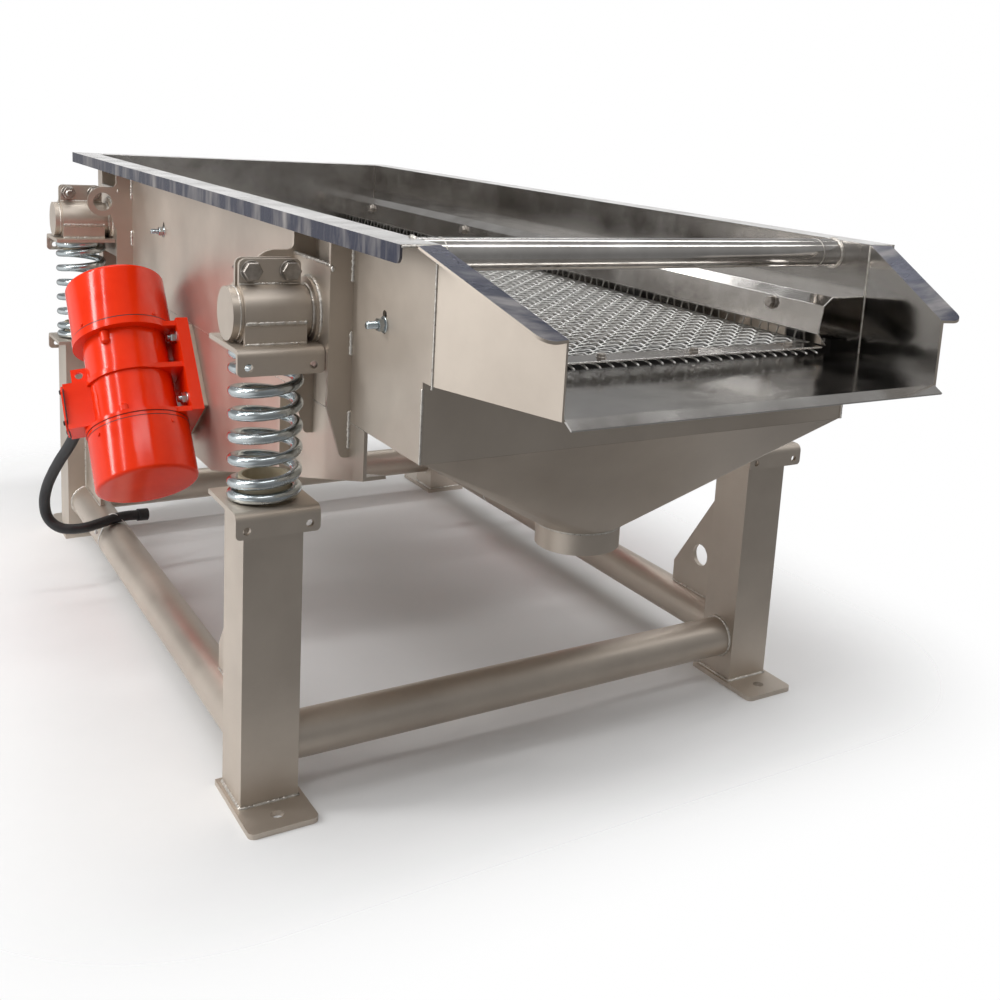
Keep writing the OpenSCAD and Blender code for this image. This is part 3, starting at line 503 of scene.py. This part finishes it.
class StageSettings(bpy.types.PropertyGroup):
    place: bpy.props.FloatVectorProperty(name="Camera", description="Place of the camera", size=3, subtype="XYZ",
                                         default=(-1.161785, -2.564514, 1.174183))
    right: bpy.props.FloatVectorProperty(name="Right", description="Direction to the picture's right", size=3,
                                         default=(0.83360606, -0.54837718, 0.06620723))
    forward: bpy.props.FloatVectorProperty(name="Forward", description="Direction of view", size=3,
                                           default=(0.5499043, 0.81262904, -0.19297488))
    lens: bpy.props.FloatProperty(name="Lens", description="Focal length on a 36 mm sensor", default=42.719)
    shift: bpy.props.FloatVectorProperty(name="Shift", description="Shift of the lens", size=2,
                                         default=(-0.08267, -0.14176))
    floor_low: bpy.props.FloatVectorProperty(name="Floor corner", description="Front left corner of the floor", size=2,
                                             default=(-4.5, -1.75), subtype="XYZ", unit="LENGTH")
    floor_high: bpy.props.FloatVectorProperty(name="Far floor corner", description="Rear right corner of the floor",
                                              size=2, default=(5.5, 6.5), subtype="XYZ", unit="LENGTH")
    fade: bpy.props.FloatVectorProperty(name="Floor's fade", size=2, default=(0.05, 0.65), subtype="XYZ", unit="LENGTH",
                                        description="Distances at which the floor starts and ends to fade")
    floor_back: bpy.props.FloatProperty(name="Floor's middle", default=0.2, unit="LENGTH",
                                        description="How far the floor's middle lies behind the machine's")
    roof: bpy.props.FloatProperty(name="Roof lamps", description="Power of each long lamp above", default=72.0)
    strip: bpy.props.FloatProperty(name="Strips", description="Power of each narrow lamp on the left", default=30.0)


class VIBRO_OT_finishes(bpy.types.Operator):
    """Give each CAD node its finish, with the box polished inside, and break the plates' edges."""
    bl_idname = "vibro.finishes"
    bl_label = "Finishes"

    def execute(self, context):
        edge = context.scene.vibro_weld.edge
        for sub in frame["record"]["subparts"]:
            node = frame["nodes"][sub["node"]]
            node.data.materials.clear()
            node.data.materials.append(SLOT_FINISH[sub["material_slot"]]())
            self.polish_inside(node)
            if sub["node"].endswith(BEVELLED):
                self.break_edges(node, edge)
            elif sub["node"].endswith(("motor_body", "terminal_boxes")):
                self.break_edges(node, 2.5 * edge)
        return {"FINISHED"}

    def break_edges(self, node, width):
        custom = node.data.attributes.get("custom_normal")
        if custom:
            node.data.attributes.remove(custom)
        node.data.shade_smooth()
        weld = node.modifiers.new("joined", "WELD")
        weld.merge_threshold = 0.00002
        bevel = node.modifiers.new("broken edge", "BEVEL")
        bevel.limit_method = "ANGLE"
        bevel.angle_limit = math.radians(32)
        bevel.width = width
        bevel.segments = 2
        bevel.harden_normals = True

    def polish_inside(self, node):
        """Polish on the box's inner and upward faces, film on its lips, rubber on the deck's supports."""
        name = node.name
        mesh = node.data
        if name == "deck_support_bars":
            mesh.materials.append(rubber_strip())
            for face in mesh.polygons:
                face.material_index = int(face.normal.z > -0.5)
        if not name.endswith(("_wall", "_chute_side", "undersize_pan")):
            return
        mesh.materials.append(polished_steel())
        mesh.materials.append(filmed_steel())
        for face in mesh.polygons:
            n, c = face.normal, face.center
            inward = n.y < -0.5 if name == "rear_wall" else n.x * (1 if c.x < 0 else -1) > 0.5
            inner = inward and (name == "rear_wall" or abs(c.x) < INNER_X + 0.003 or "chute" in name)
            if "chute" in name and n.z > 0.5:
                face.material_index = 2
            elif inner or n.z > 0.5:
                face.material_index = 1
            elif name.endswith("side_wall") and abs(c.x) > WALL_X + 0.05 and c.z > WALL_HIGH.z - 0.03:
                face.material_index = 2


class VIBRO_OT_conduits(bpy.types.Operator):
    """Black rippled conduits from the motors' terminal boxes, laid over the side tubes, and their cable ties."""
    bl_idname = "vibro.conduits"
    bl_label = "Conduits"

    def execute(self, context):
        s = context.scene.vibro_conduit
        way, length = spaced(smooth_way(CONDUIT_WAY, 12), 0.0016)
        radii = [s.diameter / 2 - s.ripple * (0.5 - 0.5 * math.cos(math.pi * i)) for i in range(len(way))]
        for sx, label in ((1, "left"), (-1, "right")):
            shape = Shape()
            shape.add(sweep(way, radii, 16))
            image = Shape()
            image.add(shape.mirrored(sx, 1))
            obj = image.piece(label + "_conduit", black_conduit(), 50)
            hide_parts(label + "_motor_cable")
        self.ties(s)
        return {"FINISHED"}

    def ties(self, s):
        """Tie round tube and conduit: the outline round both circles, as a thin band."""
        tube = Vector((-LEG_X, 0, TUBE_Z))
        cable = Vector((-0.5425, 0, 0.150))
        y, band, n = 0.355, 0.0013, 72
        low, high = y - s.tie_width / 2, y + s.tie_width / 2
        outline = []
        for i in range(n):
            d = Vector((math.cos(math.tau * i / n), 0, math.sin(math.tau * i / n)))
            a, b = tube + d * (TUBE_R + 0.001), cable + d * (s.diameter / 2 + 0.002)
            outline.append(a if a.dot(d) > b.dot(d) else b)
        left = Shape()
        for i in range(n):
            p, q = outline[i], outline[(i + 1) % n]
            out = (q - p).cross(Vector((0, 1, 0))).normalized() * band
            ring = [Vector((v.x, yy, v.z)) for v in (p, q, q + out, p + out) for yy in (low, high)]
            left.add((ring, [[0, 1, 3, 2], [4, 6, 7, 5], [0, 2, 4, 6], [1, 7, 5, 3]]))
        left.add(block((-0.5840, y - 0.0045, 0.118), (-0.5780, y + 0.0045, 0.127)))
        both_sides(left).piece("cable_ties", white_nylon())


class VIBRO_OT_springs(bpy.types.Operator):
    """Round-wire springs with closed, ground end turns."""
    bl_idname = "vibro.springs"
    bl_label = "Springs"

    def execute(self, context):
        s = context.scene.vibro_spring
        per_turn = 56
        sides = 18
        mean = (s.outside - s.wire) / 2
        start, step = 0.3 * s.wire, 1.02 * s.wire
        low = start + step
        high = s.height - low
        count = round(s.turns * per_turn)
        verts = []
        for i in range(count + 1):
            t = i / per_turn
            if t < 1:
                z = start + step * t
            elif t > s.turns - 1:
                z = s.height - start - step * (s.turns - t)
            else:
                z = low + (high - low) * (t - 1) / (s.turns - 2)
            a = s.start + math.tau * t
            for j in range(sides):
                b = math.tau * j / sides
                r = mean + s.wire / 2 * math.cos(b)
                h = min(max(z + s.wire / 2 * math.sin(b), 0.0), s.height)
                verts.append((r * math.cos(a), r * math.sin(a), h))
        faces = []
        for i in range(count):
            for j in range(sides):
                k = (j + 1) % sides
                faces.append([i * sides + j, (i + 1) * sides + j, (i + 1) * sides + k, i * sides + k])
        faces.append(list(range(sides)))
        faces.append([count * sides + j for j in range(sides)][::-1])
        for label, (sx, sy) in CORNERS.items():
            shape = Shape()
            shape.add((verts, faces), Matrix.Translation((sx * LEG_X, sy * LEG_Y, SPRING_LOW.z)))
            obj = shape.piece(label + "_coil", zinc_plate(), 50)
            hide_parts(label + "_spring")
        return {"FINISHED"}


class VIBRO_OT_mesh(bpy.types.Operator):
    """Woven deck of crimped wires, those along the machine under and over those across it."""
    bl_idname = "vibro.mesh"
    bl_label = "Woven mesh"

    def execute(self, context):
        s = context.scene.vibro_wire
        sides, margin, front_margin = 6, 0.004, 0.006
        mid = (MESH_LOW.z + MESH_HIGH.z) / 2
        columns = 2 * int((INNER_X - margin) / s.pitch)
        first = -(columns - 1) * s.pitch / 2
        rear = MESH_HIGH.y - margin
        rows = int((rear - MESH_LOW.y - front_margin) / s.pitch) + 1
        front = BAR_HIGH.y + s.pitch / 2
        full_rows = int((rear - front) / s.pitch) + 1
        outer = sum(first + i * s.pitch <= -BAR_HIGH.x for i in range(columns))
        long_wires = Shape()
        for i in range(columns):
            x = first + i * s.pitch
            held = abs(x) < BAR_HIGH.x
            count = rows if held else full_rows
            points = self.crimped(count, s, lambda t, up: (x, rear - t, mid - up), i)
            if held:
                points += [(x, BAR_LOW.y + 0.010, mid), (x, BAR_LOW.y - s.overhang, mid - 0.004)]
            long_wires.add(sweep(points, [s.wire_d / 2] * len(points), sides))
        obj = long_wires.piece("long_wires", bright_wire(), 60)
        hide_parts("screen_mesh")
        cross_wires = Shape()
        for j in range(rows):
            y = rear - j * s.pitch
            skip = outer if j >= full_rows else 0
            left = first + skip * s.pitch
            count = columns - 2 * skip
            points = self.crimped(count, s, lambda t, up: (left + t, y, mid + up), j + skip)
            cross_wires.add(sweep(points, [s.wire_d / 2] * len(points), sides))
        obj = cross_wires.piece("cross_wires", bright_wire(), 60)
        return {"FINISHED"}

    def crimped(self, count, s, place, start):
        """Points of a wire that passes over and under in turn: broad crests and sharp dips."""
        shape, depth = (1.0, 0.72, 0.10, -0.62), 0.56 * s.wire_d
        points = []
        for i in range(count):
            over = (i + start) % 2 == 0
            for k in range(4 if i < count - 1 else 1):
                up = shape[k] if over else -1.0 if k == 0 else shape[4 - k]
                points.append(place((i + k / 4) * s.pitch, depth * up))
        return points


class VIBRO_OT_clamp_bolts(bpy.types.Operator):
    """Two hexagon bolts with washers and nuts through the ears of each split clamp."""
    bl_idname = "vibro.clamp_bolts"
    bl_label = "Clamp bolts"

    def execute(self, context):
        d = context.scene.vibro_bolt.clamp_d
        ear, pad = 0.014, 0.003
        bolt_z = AXIS_Z + 0.0685
        local = Shape()
        for x in (-0.0315, 0.0315):
            out = along((x, ear, bolt_z), (0, 1, 0))
            back = along((x, -ear, bolt_z), (0, -1, 0))
            add_hexagon(local, out, d, pad, 1.55, 0.62, 1.9, 1.1)
            add_hexagon(local, back, d, pad, 1.55, 0.85, 1.9, 1.1)
            local.add(thread(d, pad + 0.8 * d, pad + 1.35 * d), back)
            local.add(lathe([(0, -2 * ear), (0.49 * d, -2 * ear), (0.49 * d, 0.001), (0, 0.001)], 20), out)
        obj = at_corners(local).piece("clamp_bolts", bolt_steel())
        return {"FINISHED"}


class VIBRO_OT_motor_fittings(bpy.types.Operator):
    """Foot bolts, cover seams and screws, bosses, lid gasket, lid screws and gland nuts of both motors."""
    bl_idname = "vibro.motor_fittings"
    bl_label = "Motor fittings"

    def execute(self, context):
        d = context.scene.vibro_bolt.foot_d
        pad = 0.003
        motor = motor_frame()
        bolts = Shape()
        for y in (-0.065, 0.065):
            for z in (-0.075, 0.075):
                m = motor @ along((0.095, y, z), (-1, 0, 0))
                add_hexagon(bolts, m, d, pad, 1.5, 0.63, 1.9, 1.1)
                bolts.add(thread(d, pad + 0.6 * d, pad + 1.1 * d), m)
        obj = both_sides(bolts).piece("motor_foot_bolts", zinc_plate())
        seams = Shape()
        root, face, screw_seat = 0.1040, 0.1053, 0.1048
        for z, half in ((0.1138, 0.0012), (-0.1134, 0.0008), (-0.1225, 0.0007)):
            band = [(root, z - half), (face, z - half), (face, z + half), (root, z + half), (root, z - half)]
            seams.add(lathe(band, 96), motor)
        lid = motor @ Matrix.Rotation(LID_TURN, 4, "Z")
        half_w, half_l, cut, gasket = 0.0365, 0.053, 0.018, 0.0012
        corner = [(half_w, cut - half_l), (half_w, half_l - cut), (half_w - cut, half_l), (cut - half_w, half_l),
                  (-half_w, half_l - cut), (-half_w, cut - half_l), (cut - half_w, -half_l), (half_w - cut, -half_l)]
        upright = Matrix(((0, 0, 1, 0.136), (1, 0, 0, 0), (0, 1, 0, -0.0445), (0, 0, 0, 1)))
        seams.add(prism(corner, -gasket, gasket), lid @ upright)
        both_sides(seams).piece("motor_cover_seams", seam_black())
        screws = Shape()
        for y in (-0.026, 0.026):
            for z in (-0.036, 0.036):
                m = lid @ upright @ Matrix.Translation((y, z, 0.005))
                screws.add(lathe([(0, 0), (0.0052, 0), (0.0052, 0.0024), (0.0040, 0.0036), (0, 0.0036)], 16), m)
        both_sides(screws).piece("terminal_lid_screws", seam_black())
        cast = Shape()
        for z in (0.1212, -0.1370):
            for turn in (-62, 28, 118, 208):
                out = self.outward(turn)
                m = motor @ along(out * screw_seat + Vector((0, 0, z)), out)
                cast.add(lathe([(0, 0), (0.0042, 0), (0.0042, 0.0016), (0.0032, 0.0030), (0, 0.0032)], 14), m)
        r, boss_at = 0.0095, 0.089
        for turn, low, high in ((-128, 0.064, 0.096), (-118, -0.104, -0.084), (128, 0.064, 0.096)):
            m = motor @ Matrix.Translation(self.outward(turn) * boss_at)
            boss = [(0, low), (0.6 * r, low), (r, low + 0.4 * r), (r, high - 0.4 * r), (0.6 * r, high), (0, high)]
            cast.add(lathe(boss, 18), m)
        obj = both_sides(cast).piece("motor_bosses_and_screws", red_paint())
        gland = Shape()
        nut, tip = 0.013, 0.020
        m = motor @ along((-0.107, 0.075, -0.065), (0, 1, 0))
        gland.add(hexagon(0.036, nut), m)
        gland.add(lathe([(0, nut), (0.0162, nut), (0.0162, 0.0175), (0.0150, tip), (0, tip)], 28), m)
        both_sides(gland).piece("conduit_gland_nuts", black_conduit())
        return {"FINISHED"}

    def outward(self, turn):
        """Direction away from the motor's shaft, by its angle in degrees."""
        return Vector((math.cos(math.radians(turn)), math.sin(math.radians(turn)), 0))


class VIBRO_OT_hold_down_bolts(bpy.types.Operator):
    """Studs with nuts on the walls' outside, bolts on the hold-down covers and on the clamp bar."""
    bl_idname = "vibro.hold_down_bolts"
    bl_label = "Hold-down bolts"

    def execute(self, context):
        s = context.scene.vibro_bolt
        d, pad, bar_pad = s.stud_d, 0.0025, 0.0016
        stud_z, cover_bolt_z = AXIS_Z + 0.012, MESH_HIGH.z + 0.058
        left = Shape()
        for y in (-0.938, -0.302, 0.334, 0.970):
            m = along((-WALL_X, y, stud_z), (-1, 0, 0))
            add_hexagon(left, m, d, pad, 1.55, 0.8, 2.2)
            left.add(thread(d, pad + 0.7 * d, 0.030), m)
        obj = both_sides(left).piece("wall_studs", zinc_plate())
        inner = Shape()
        for y in (-0.974, -0.371, 0.229, 0.832):
            m = along((-INNER_X + 0.0987, y, cover_bolt_z), (0.989, 0, 0.148))
            add_hexagon(inner, m, d, pad, 1.55, 0.65, 2.1)
        obj = both_sides(inner).piece("cover_bolts", bolt_steel())
        bar = Shape()
        for x in (-0.290, -0.134, 0.048, 0.255):
            m = Matrix.Translation((x, (BAR_LOW.y + BAR_HIGH.y) / 2, BAR_HIGH.z))
            add_hexagon(bar, m, s.bar_d, bar_pad, 1.6, 0.66, 2.1)
        obj = bar.piece("clamp_bar_bolts", bolt_steel())
        return {"FINISHED"}


class VIBRO_OT_frame_welds(bpy.types.Operator):
    """Beads at the feet, frame tubes, lifting gussets and under the lower seats."""
    bl_idname = "vibro.frame_welds"
    bl_label = "Frame welds"

    def execute(self, context):
        s = context.scene.vibro_weld
        rng = random.Random(s.seed)
        r = s.frame_r
        h = LEG_HALF
        tube_top = TUBE_Z + TUBE_R
        gusset_top, gusset_end = TUBE_Z + 0.333, -h - 0.175
        local = Shape()
        for z in (LEG_LOW.z, LEG_HIGH.z):
            local.add(bead([(-h, -h, z), (h, -h, z), (h, h, z), (-h, h, z)], r, rng, True))
        local.add(bead(circle((-h, 0, TUBE_Z), (0, 1, 0), (0, 0, 1), TUBE_R, 40), r, rng, True))
        local.add(bead(circle((0, -h, TUBE_Z), (1, 0, 0), (0, 0, 1), TUBE_R, 40), r, rng, True))
        for x in (-0.005, 0.005):
            local.add(bead([(x, -h, tube_top), (x, -h, gusset_top)], 0.8 * r, rng))
            local.add(bead([(x, -h, tube_top), (x, gusset_end, tube_top)], 0.8 * r, rng))
        at_corners(local).piece("frame_welds", weld_metal(), 60)
        return {"FINISHED"}


class VIBRO_OT_bracket_welds(bpy.types.Operator):
    """Beads on the spring brackets, trunnions and pillars."""
    bl_idname = "vibro.bracket_welds"
    bl_label = "Bracket welds"

    def execute(self, context):
        s = context.scene.vibro_weld
        rng = random.Random(s.seed + 1)
        r = s.bracket_r
        seat = AXIS_Z - 0.045
        saddle, ear = seat + 0.0345, AXIS_Z + 0.0475
        half, rib = 0.050, 0.086
        wall = WALL_X - LEG_X
        cap = wall + 0.039
        cap_low, cap_high, pillar_top = AXIS_Z + 0.076, AXIS_Z + 0.085, AXIS_Z + 0.1485
        local = Shape()
        for y in (-0.047, 0.047):
            local.add(bead([(-half, y, saddle), (half, y, saddle)], 1.2 * r, rng))
            local.add(bead([(-half, y, seat + 0.001), (half, y, seat + 0.001)], r, rng))
        for y in (-0.0145, 0.0145):
            local.add(bead([(-half, y, ear), (half, y, ear)], 0.8 * r, rng))
        rings = ((0.0545, 0.0424, 44, 0.45), (cap + 0.0005, 0.0560, 52, 1.1), (cap + 0.0085, 0.0434, 44, 0.9))
        for x, ring_r, count, share in rings:
            ring = circle((x, 0, AXIS_Z), (0, 1, 0), (0, 0, 1), ring_r, count)
            local.add(bead(ring, share * r, rng, True))
        local.add(bead([(cap - 0.003, -rib, cap_high), (cap - 0.003, rib, cap_high)], 1.1 * r, rng))
        for y in (-rib, rib):
            local.add(bead([(cap - 0.004, y, cap_low), (cap - 0.004, y, cap_high)], 1.2 * r, rng))
            for low, high in ((-0.215, -0.150), (-0.060, -0.020), (0.058, 0.143)):
                ends = [(wall + 0.001, y, AXIS_Z + low), (wall + 0.001, y, AXIS_Z + high)]
                local.add(bead(ends, 1.3 * r, rng))
            local.add(bead([(wall, y, pillar_top), (cap, y, pillar_top)], r, rng))
        at_corners(local).piece("bracket_and_pillar_welds", weld_metal(), 60)
        return {"FINISHED"}


class VIBRO_OT_box_welds(bpy.types.Operator):
    """Beads and seams on the box, chute, cross pipe and hopper."""
    bl_idname = "vibro.box_welds"
    bl_label = "Box welds"

    def execute(self, context):
        s = context.scene.vibro_weld
        rng = random.Random(s.seed + 2)
        r = s.sheet_r
        pipe = Vector((-INNER_X, (PIPE_LOW.y + PIPE_HIGH.y) / 2, (PIPE_LOW.z + PIPE_HIGH.z) / 2))
        pipe_r = (PIPE_HIGH.z - PIPE_LOW.z) / 2
        end, top, collar = WALL_LOW.y, WALL_HIGH.z, WALL_LOW.y + 0.030
        sleeve = pipe + Vector((0.045, 0, 0))
        left = Shape()
        left.add(bead([(-WALL_X, PLATE_LOW.y, PLATE_HIGH.z), (-WALL_X, PLATE_HIGH.y, PLATE_HIGH.z)], 0.6 * r, rng))
        left.add(bead([(-WALL_X, end, CHUTE_LOW.z + 0.004), (-WALL_X, end, top - 0.004)], r, rng))
        left.add(bead([(-INNER_X, end, CHUTE_HIGH.z), (-INNER_X, end, top - 0.002)], r, rng))
        left.add(bead([(-WALL_X, collar, WALL_LOW.z), (-WALL_X, collar, CHUTE_LOW.z)], r, rng))
        left.add(bead(circle(pipe, (0, 1, 0), (0, 0, 1), pipe_r, 36), 1.7 * r, rng, True))
        left.add(bead(circle(sleeve, (0, 1, 0), (0, 0, 1), pipe_r - 0.0004, 48), 0.5 * r, rng, True))
        left.add(bead([(WALL_LOW.x + 0.002, end, top - 0.003), (WALL_HIGH.x, end, top - 0.003)], 1.3 * r, rng))
        both_sides(left).piece("box_welds", weld_metal(), 60)
        mid = (SPOUT_LOW + SPOUT_HIGH) / 2
        spout_r = (SPOUT_HIGH.x - SPOUT_LOW.x) / 2
        seam = circle((mid.x, mid.y, SPOUT_HIGH.z), (1, 0, 0), (0, 1, 0), spout_r, 72)
        ring = Shape()
        ring.add(bead(seam, 1.2 * r, rng, True))
        ring.piece("spout_weld", weld_metal(), 60)
        return {"FINISHED"}


class VIBRO_OT_stage(bpy.types.Operator):
    """Camera at the photograph's angle, plain pale floor, soft lamps, white backdrop and bright left side."""
    bl_idname = "vibro.stage"
    bl_label = "Stage"

    def execute(self, context):
        s = context.scene.vibro_stage
        self.camera(context.scene, s)
        self.floor(s)
        motor = (-0.56, 0.1, 0.55)
        for y in (-2.6, 0.6, 3.8):
            self.lamp("roof lamp", (0.6, y, 4.6), (0.6, y, 0.0), 7.0, 0.45, s.roof)
        self.lamp("near strip", (-2.6, -0.6, 2.65), motor, 0.07, 2.4, 0.5 * s.strip)
        self.lamp("far strip", (-3.0, 0.3, 2.1), motor, 0.26, 2.4, 1.5 * s.strip)
        self.world(context.scene)
        context.scene.view_settings.view_transform = "Standard"
        return {"FINISHED"}

    def camera(self, scene, s):
        data = bpy.data.cameras.new("camera")
        data.sensor_width = 36
        data.lens = s.lens
        data.shift_x, data.shift_y = s.shift
        data.clip_end = 200
        cam = bpy.data.objects.new("camera", data)
        right, forward = Vector(s.right).normalized(), Vector(s.forward).normalized()
        up = right.cross(forward)
        turn = Matrix((right, up, -forward)).transposed().to_4x4()
        cam.matrix_world = Matrix.Translation(s.place) @ turn
        scene.collection.objects.link(cam)
        scene.camera = cam

    def floor(self, s):
        (x0, y0), (x1, y1) = s.floor_low, s.floor_high
        mesh = bpy.data.meshes.new("floor")
        middle = Vector((0, s.floor_back, 0))
        corners = [Vector((x0, y0, 0)), Vector((x1, y0, 0)), Vector((x1, y1, 0)), Vector((x0, y1, 0))]
        mesh.from_pydata([c - middle for c in corners], [], [[0, 1, 2, 3]])
        pale = finish("pale_floor", (0.86, 0.86, 0.86), (0.90, 0.90, 0.90), 0.0, (0.8, 0.9), 2.0)
        mesh.materials.append(self.fading(pale, s))
        floor = bpy.data.objects.new("floor", mesh)
        floor.location = middle
        bpy.context.scene.collection.objects.link(floor)

    def fading(self, mat, s):
        """Floor finish that turns clear with the distance from the machine, where the backdrop takes over."""
        nodes, links = mat.node_tree.nodes, mat.node_tree.links
        place = nodes.new("ShaderNodeTexCoord")
        vector = place.outputs["Object"]
        for step, value in (("ABSOLUTE", None), ("SUBTRACT", (LEG_X + 0.1, LEG_Y + 0.13, 0)), ("MAXIMUM", (0, 0, 0))):
            node = nodes.new("ShaderNodeVectorMath")
            node.operation = step
            if value:
                node.inputs[1].default_value = value
            links.new(vector, node.inputs[0])
            vector = node.outputs["Vector"]
        far = nodes.new("ShaderNodeVectorMath")
        far.operation = "LENGTH"
        links.new(vector, far.inputs[0])
        clear = nodes.new("ShaderNodeMapRange")
        clear.interpolation_type = "SMOOTHSTEP"
        clear.inputs["From Min"].default_value = s.fade[0]
        clear.inputs["From Max"].default_value = s.fade[1]
        clear.inputs["To Min"].default_value = 1.0
        clear.inputs["To Max"].default_value = 0.0
        links.new(far.outputs["Value"], clear.inputs["Value"])
        links.new(clear.outputs["Result"], nodes["Principled BSDF"].inputs["Alpha"])
        return mat

    def lamp(self, name, place, target, width, length, power):
        data = bpy.data.lights.new(name, "AREA")
        data.shape = "RECTANGLE"
        data.size = width
        data.size_y = length
        data.energy = power
        lamp = bpy.data.objects.new(name, data)
        lamp.matrix_world = along(place, Vector(place) - Vector(target))
        bpy.context.scene.collection.objects.link(lamp)

    def world(self, scene):
        """White backdrop behind the machine, a bright side on the left, and dim surroundings."""
        world = bpy.data.worlds.new("studio")
        world.use_nodes = True
        nodes, links = world.node_tree.nodes, world.node_tree.links
        back = nodes["Background"]
        place = nodes.new("ShaderNodeTexCoord")
        left = self.facing(world, place, (-0.93, 0.30, 0.05), [(0.30, 0.0), (0.62, 0.75), (0.90, 1.0)])
        behind = self.facing(world, place, (0.49, 0.82, -0.297), [(0.80, 0.0), (0.845, 1.0)])
        split = nodes.new("ShaderNodeSeparateXYZ")
        links.new(place.outputs["Generated"], split.inputs["Vector"])
        low = self.ramp(world, split.outputs["Z"], [(0.125, 1.0), (0.145, 0.0)])
        window = self.ramp(world, split.outputs["Z"], [(0.08, 1.0), (0.22, 0.25), (0.45, 0.0)])
        backdrop = self.combine(world, "MULTIPLY", behind, low)
        side = self.combine(world, "MULTIPLY", left, window)
        dim = self.ramp(world, split.outputs["Z"], [(0.0, 0.22), (0.12, 0.24), (0.5, 0.34)])
        lit = self.combine(world, "LIGHTEN", side, backdrop)
        all_round = self.combine(world, "LIGHTEN", lit, dim)
        links.new(all_round, back.inputs["Color"])
        scene.world = world

    def ramp(self, world, value, stops):
        """Grey level against a value."""
        ramp = world.node_tree.nodes.new("ShaderNodeValToRGB")
        while len(ramp.color_ramp.elements) < len(stops):
            ramp.color_ramp.elements.new(0.5)
        for element, (at, grey) in zip(ramp.color_ramp.elements, stops):
            element.position = at
            element.color = (grey, grey, grey, 1)
        world.node_tree.links.new(value, ramp.inputs["Fac"])
        return ramp.outputs["Color"]

    def facing(self, world, place, way, stops):
        """Grey level against the nearness to a direction."""
        dot = world.node_tree.nodes.new("ShaderNodeVectorMath")
        dot.operation = "DOT_PRODUCT"
        dot.inputs[1].default_value = way
        world.node_tree.links.new(place.outputs["Generated"], dot.inputs[0])
        return self.ramp(world, dot.outputs["Value"], stops)

    def combine(self, world, mode, a, b):
        mix = world.node_tree.nodes.new("ShaderNodeMix")
        mix.data_type = "RGBA"
        mix.blend_type = mode
        mix.inputs[0].default_value = 1.0
        world.node_tree.links.new(a, mix.inputs[6])
        world.node_tree.links.new(b, mix.inputs[7])
        return mix.outputs[2]


class VIBRO_PT_panel(bpy.types.Panel):
    """Buttons and sizes of the screen's pieces."""
    bl_idname = "VIBRO_PT_panel"
    bl_label = "Vibrating screen"
    bl_space_type = "VIEW_3D"
    bl_region_type = "UI"
    bl_category = "Screen"

    def draw(self, context):
        for name, _ in GROUPS:
            box = self.layout.box()
            group = getattr(context.scene, name)
            for prop in group.bl_rna.properties:
                if prop.identifier not in ("rna_type", "name"):
                    box.prop(group, prop.identifier)
        for op in OPERATORS:
            self.layout.operator(op.bl_idname)


GROUPS = [
    ("vibro_wire", WireSettings),
    ("vibro_spring", SpringSettings),
    ("vibro_conduit", ConduitSettings),
    ("vibro_bolt", BoltSettings),
    ("vibro_weld", WeldSettings),
    ("vibro_stage", StageSettings),
]
OPERATORS = [
    VIBRO_OT_stage,
    VIBRO_OT_conduits,
    VIBRO_OT_finishes,
    VIBRO_OT_springs,
    VIBRO_OT_mesh,
    VIBRO_OT_clamp_bolts,
    VIBRO_OT_motor_fittings,
    VIBRO_OT_hold_down_bolts,
    VIBRO_OT_frame_welds,
    VIBRO_OT_bracket_welds,
    VIBRO_OT_box_welds,
]


def register():
    for name, group in GROUPS:
        bpy.utils.register_class(group)
        setattr(bpy.types.Scene, name, bpy.props.PointerProperty(type=group))
    for op in OPERATORS:
        bpy.utils.register_class(op)
    bpy.utils.register_class(VIBRO_PT_panel)


def unregister():
    bpy.utils.unregister_class(VIBRO_PT_panel)
    for op in reversed(OPERATORS):
        bpy.utils.unregister_class(op)
    for name, group in reversed(GROUPS):
        delattr(bpy.types.Scene, name)
        bpy.utils.unregister_class(group)


def main():
    register()
    bpy.ops.vibro.stage()
    bpy.ops.vibro.conduits()
    bpy.ops.vibro.finishes()
    bpy.ops.vibro.springs()
    bpy.ops.vibro.mesh()
    bpy.ops.vibro.clamp_bolts()
    bpy.ops.vibro.motor_fittings()
    bpy.ops.vibro.hold_down_bolts()
    bpy.ops.vibro.frame_welds()
    bpy.ops.vibro.bracket_welds()
    bpy.ops.vibro.box_welds()


if __name__ == "__main__":
    main()
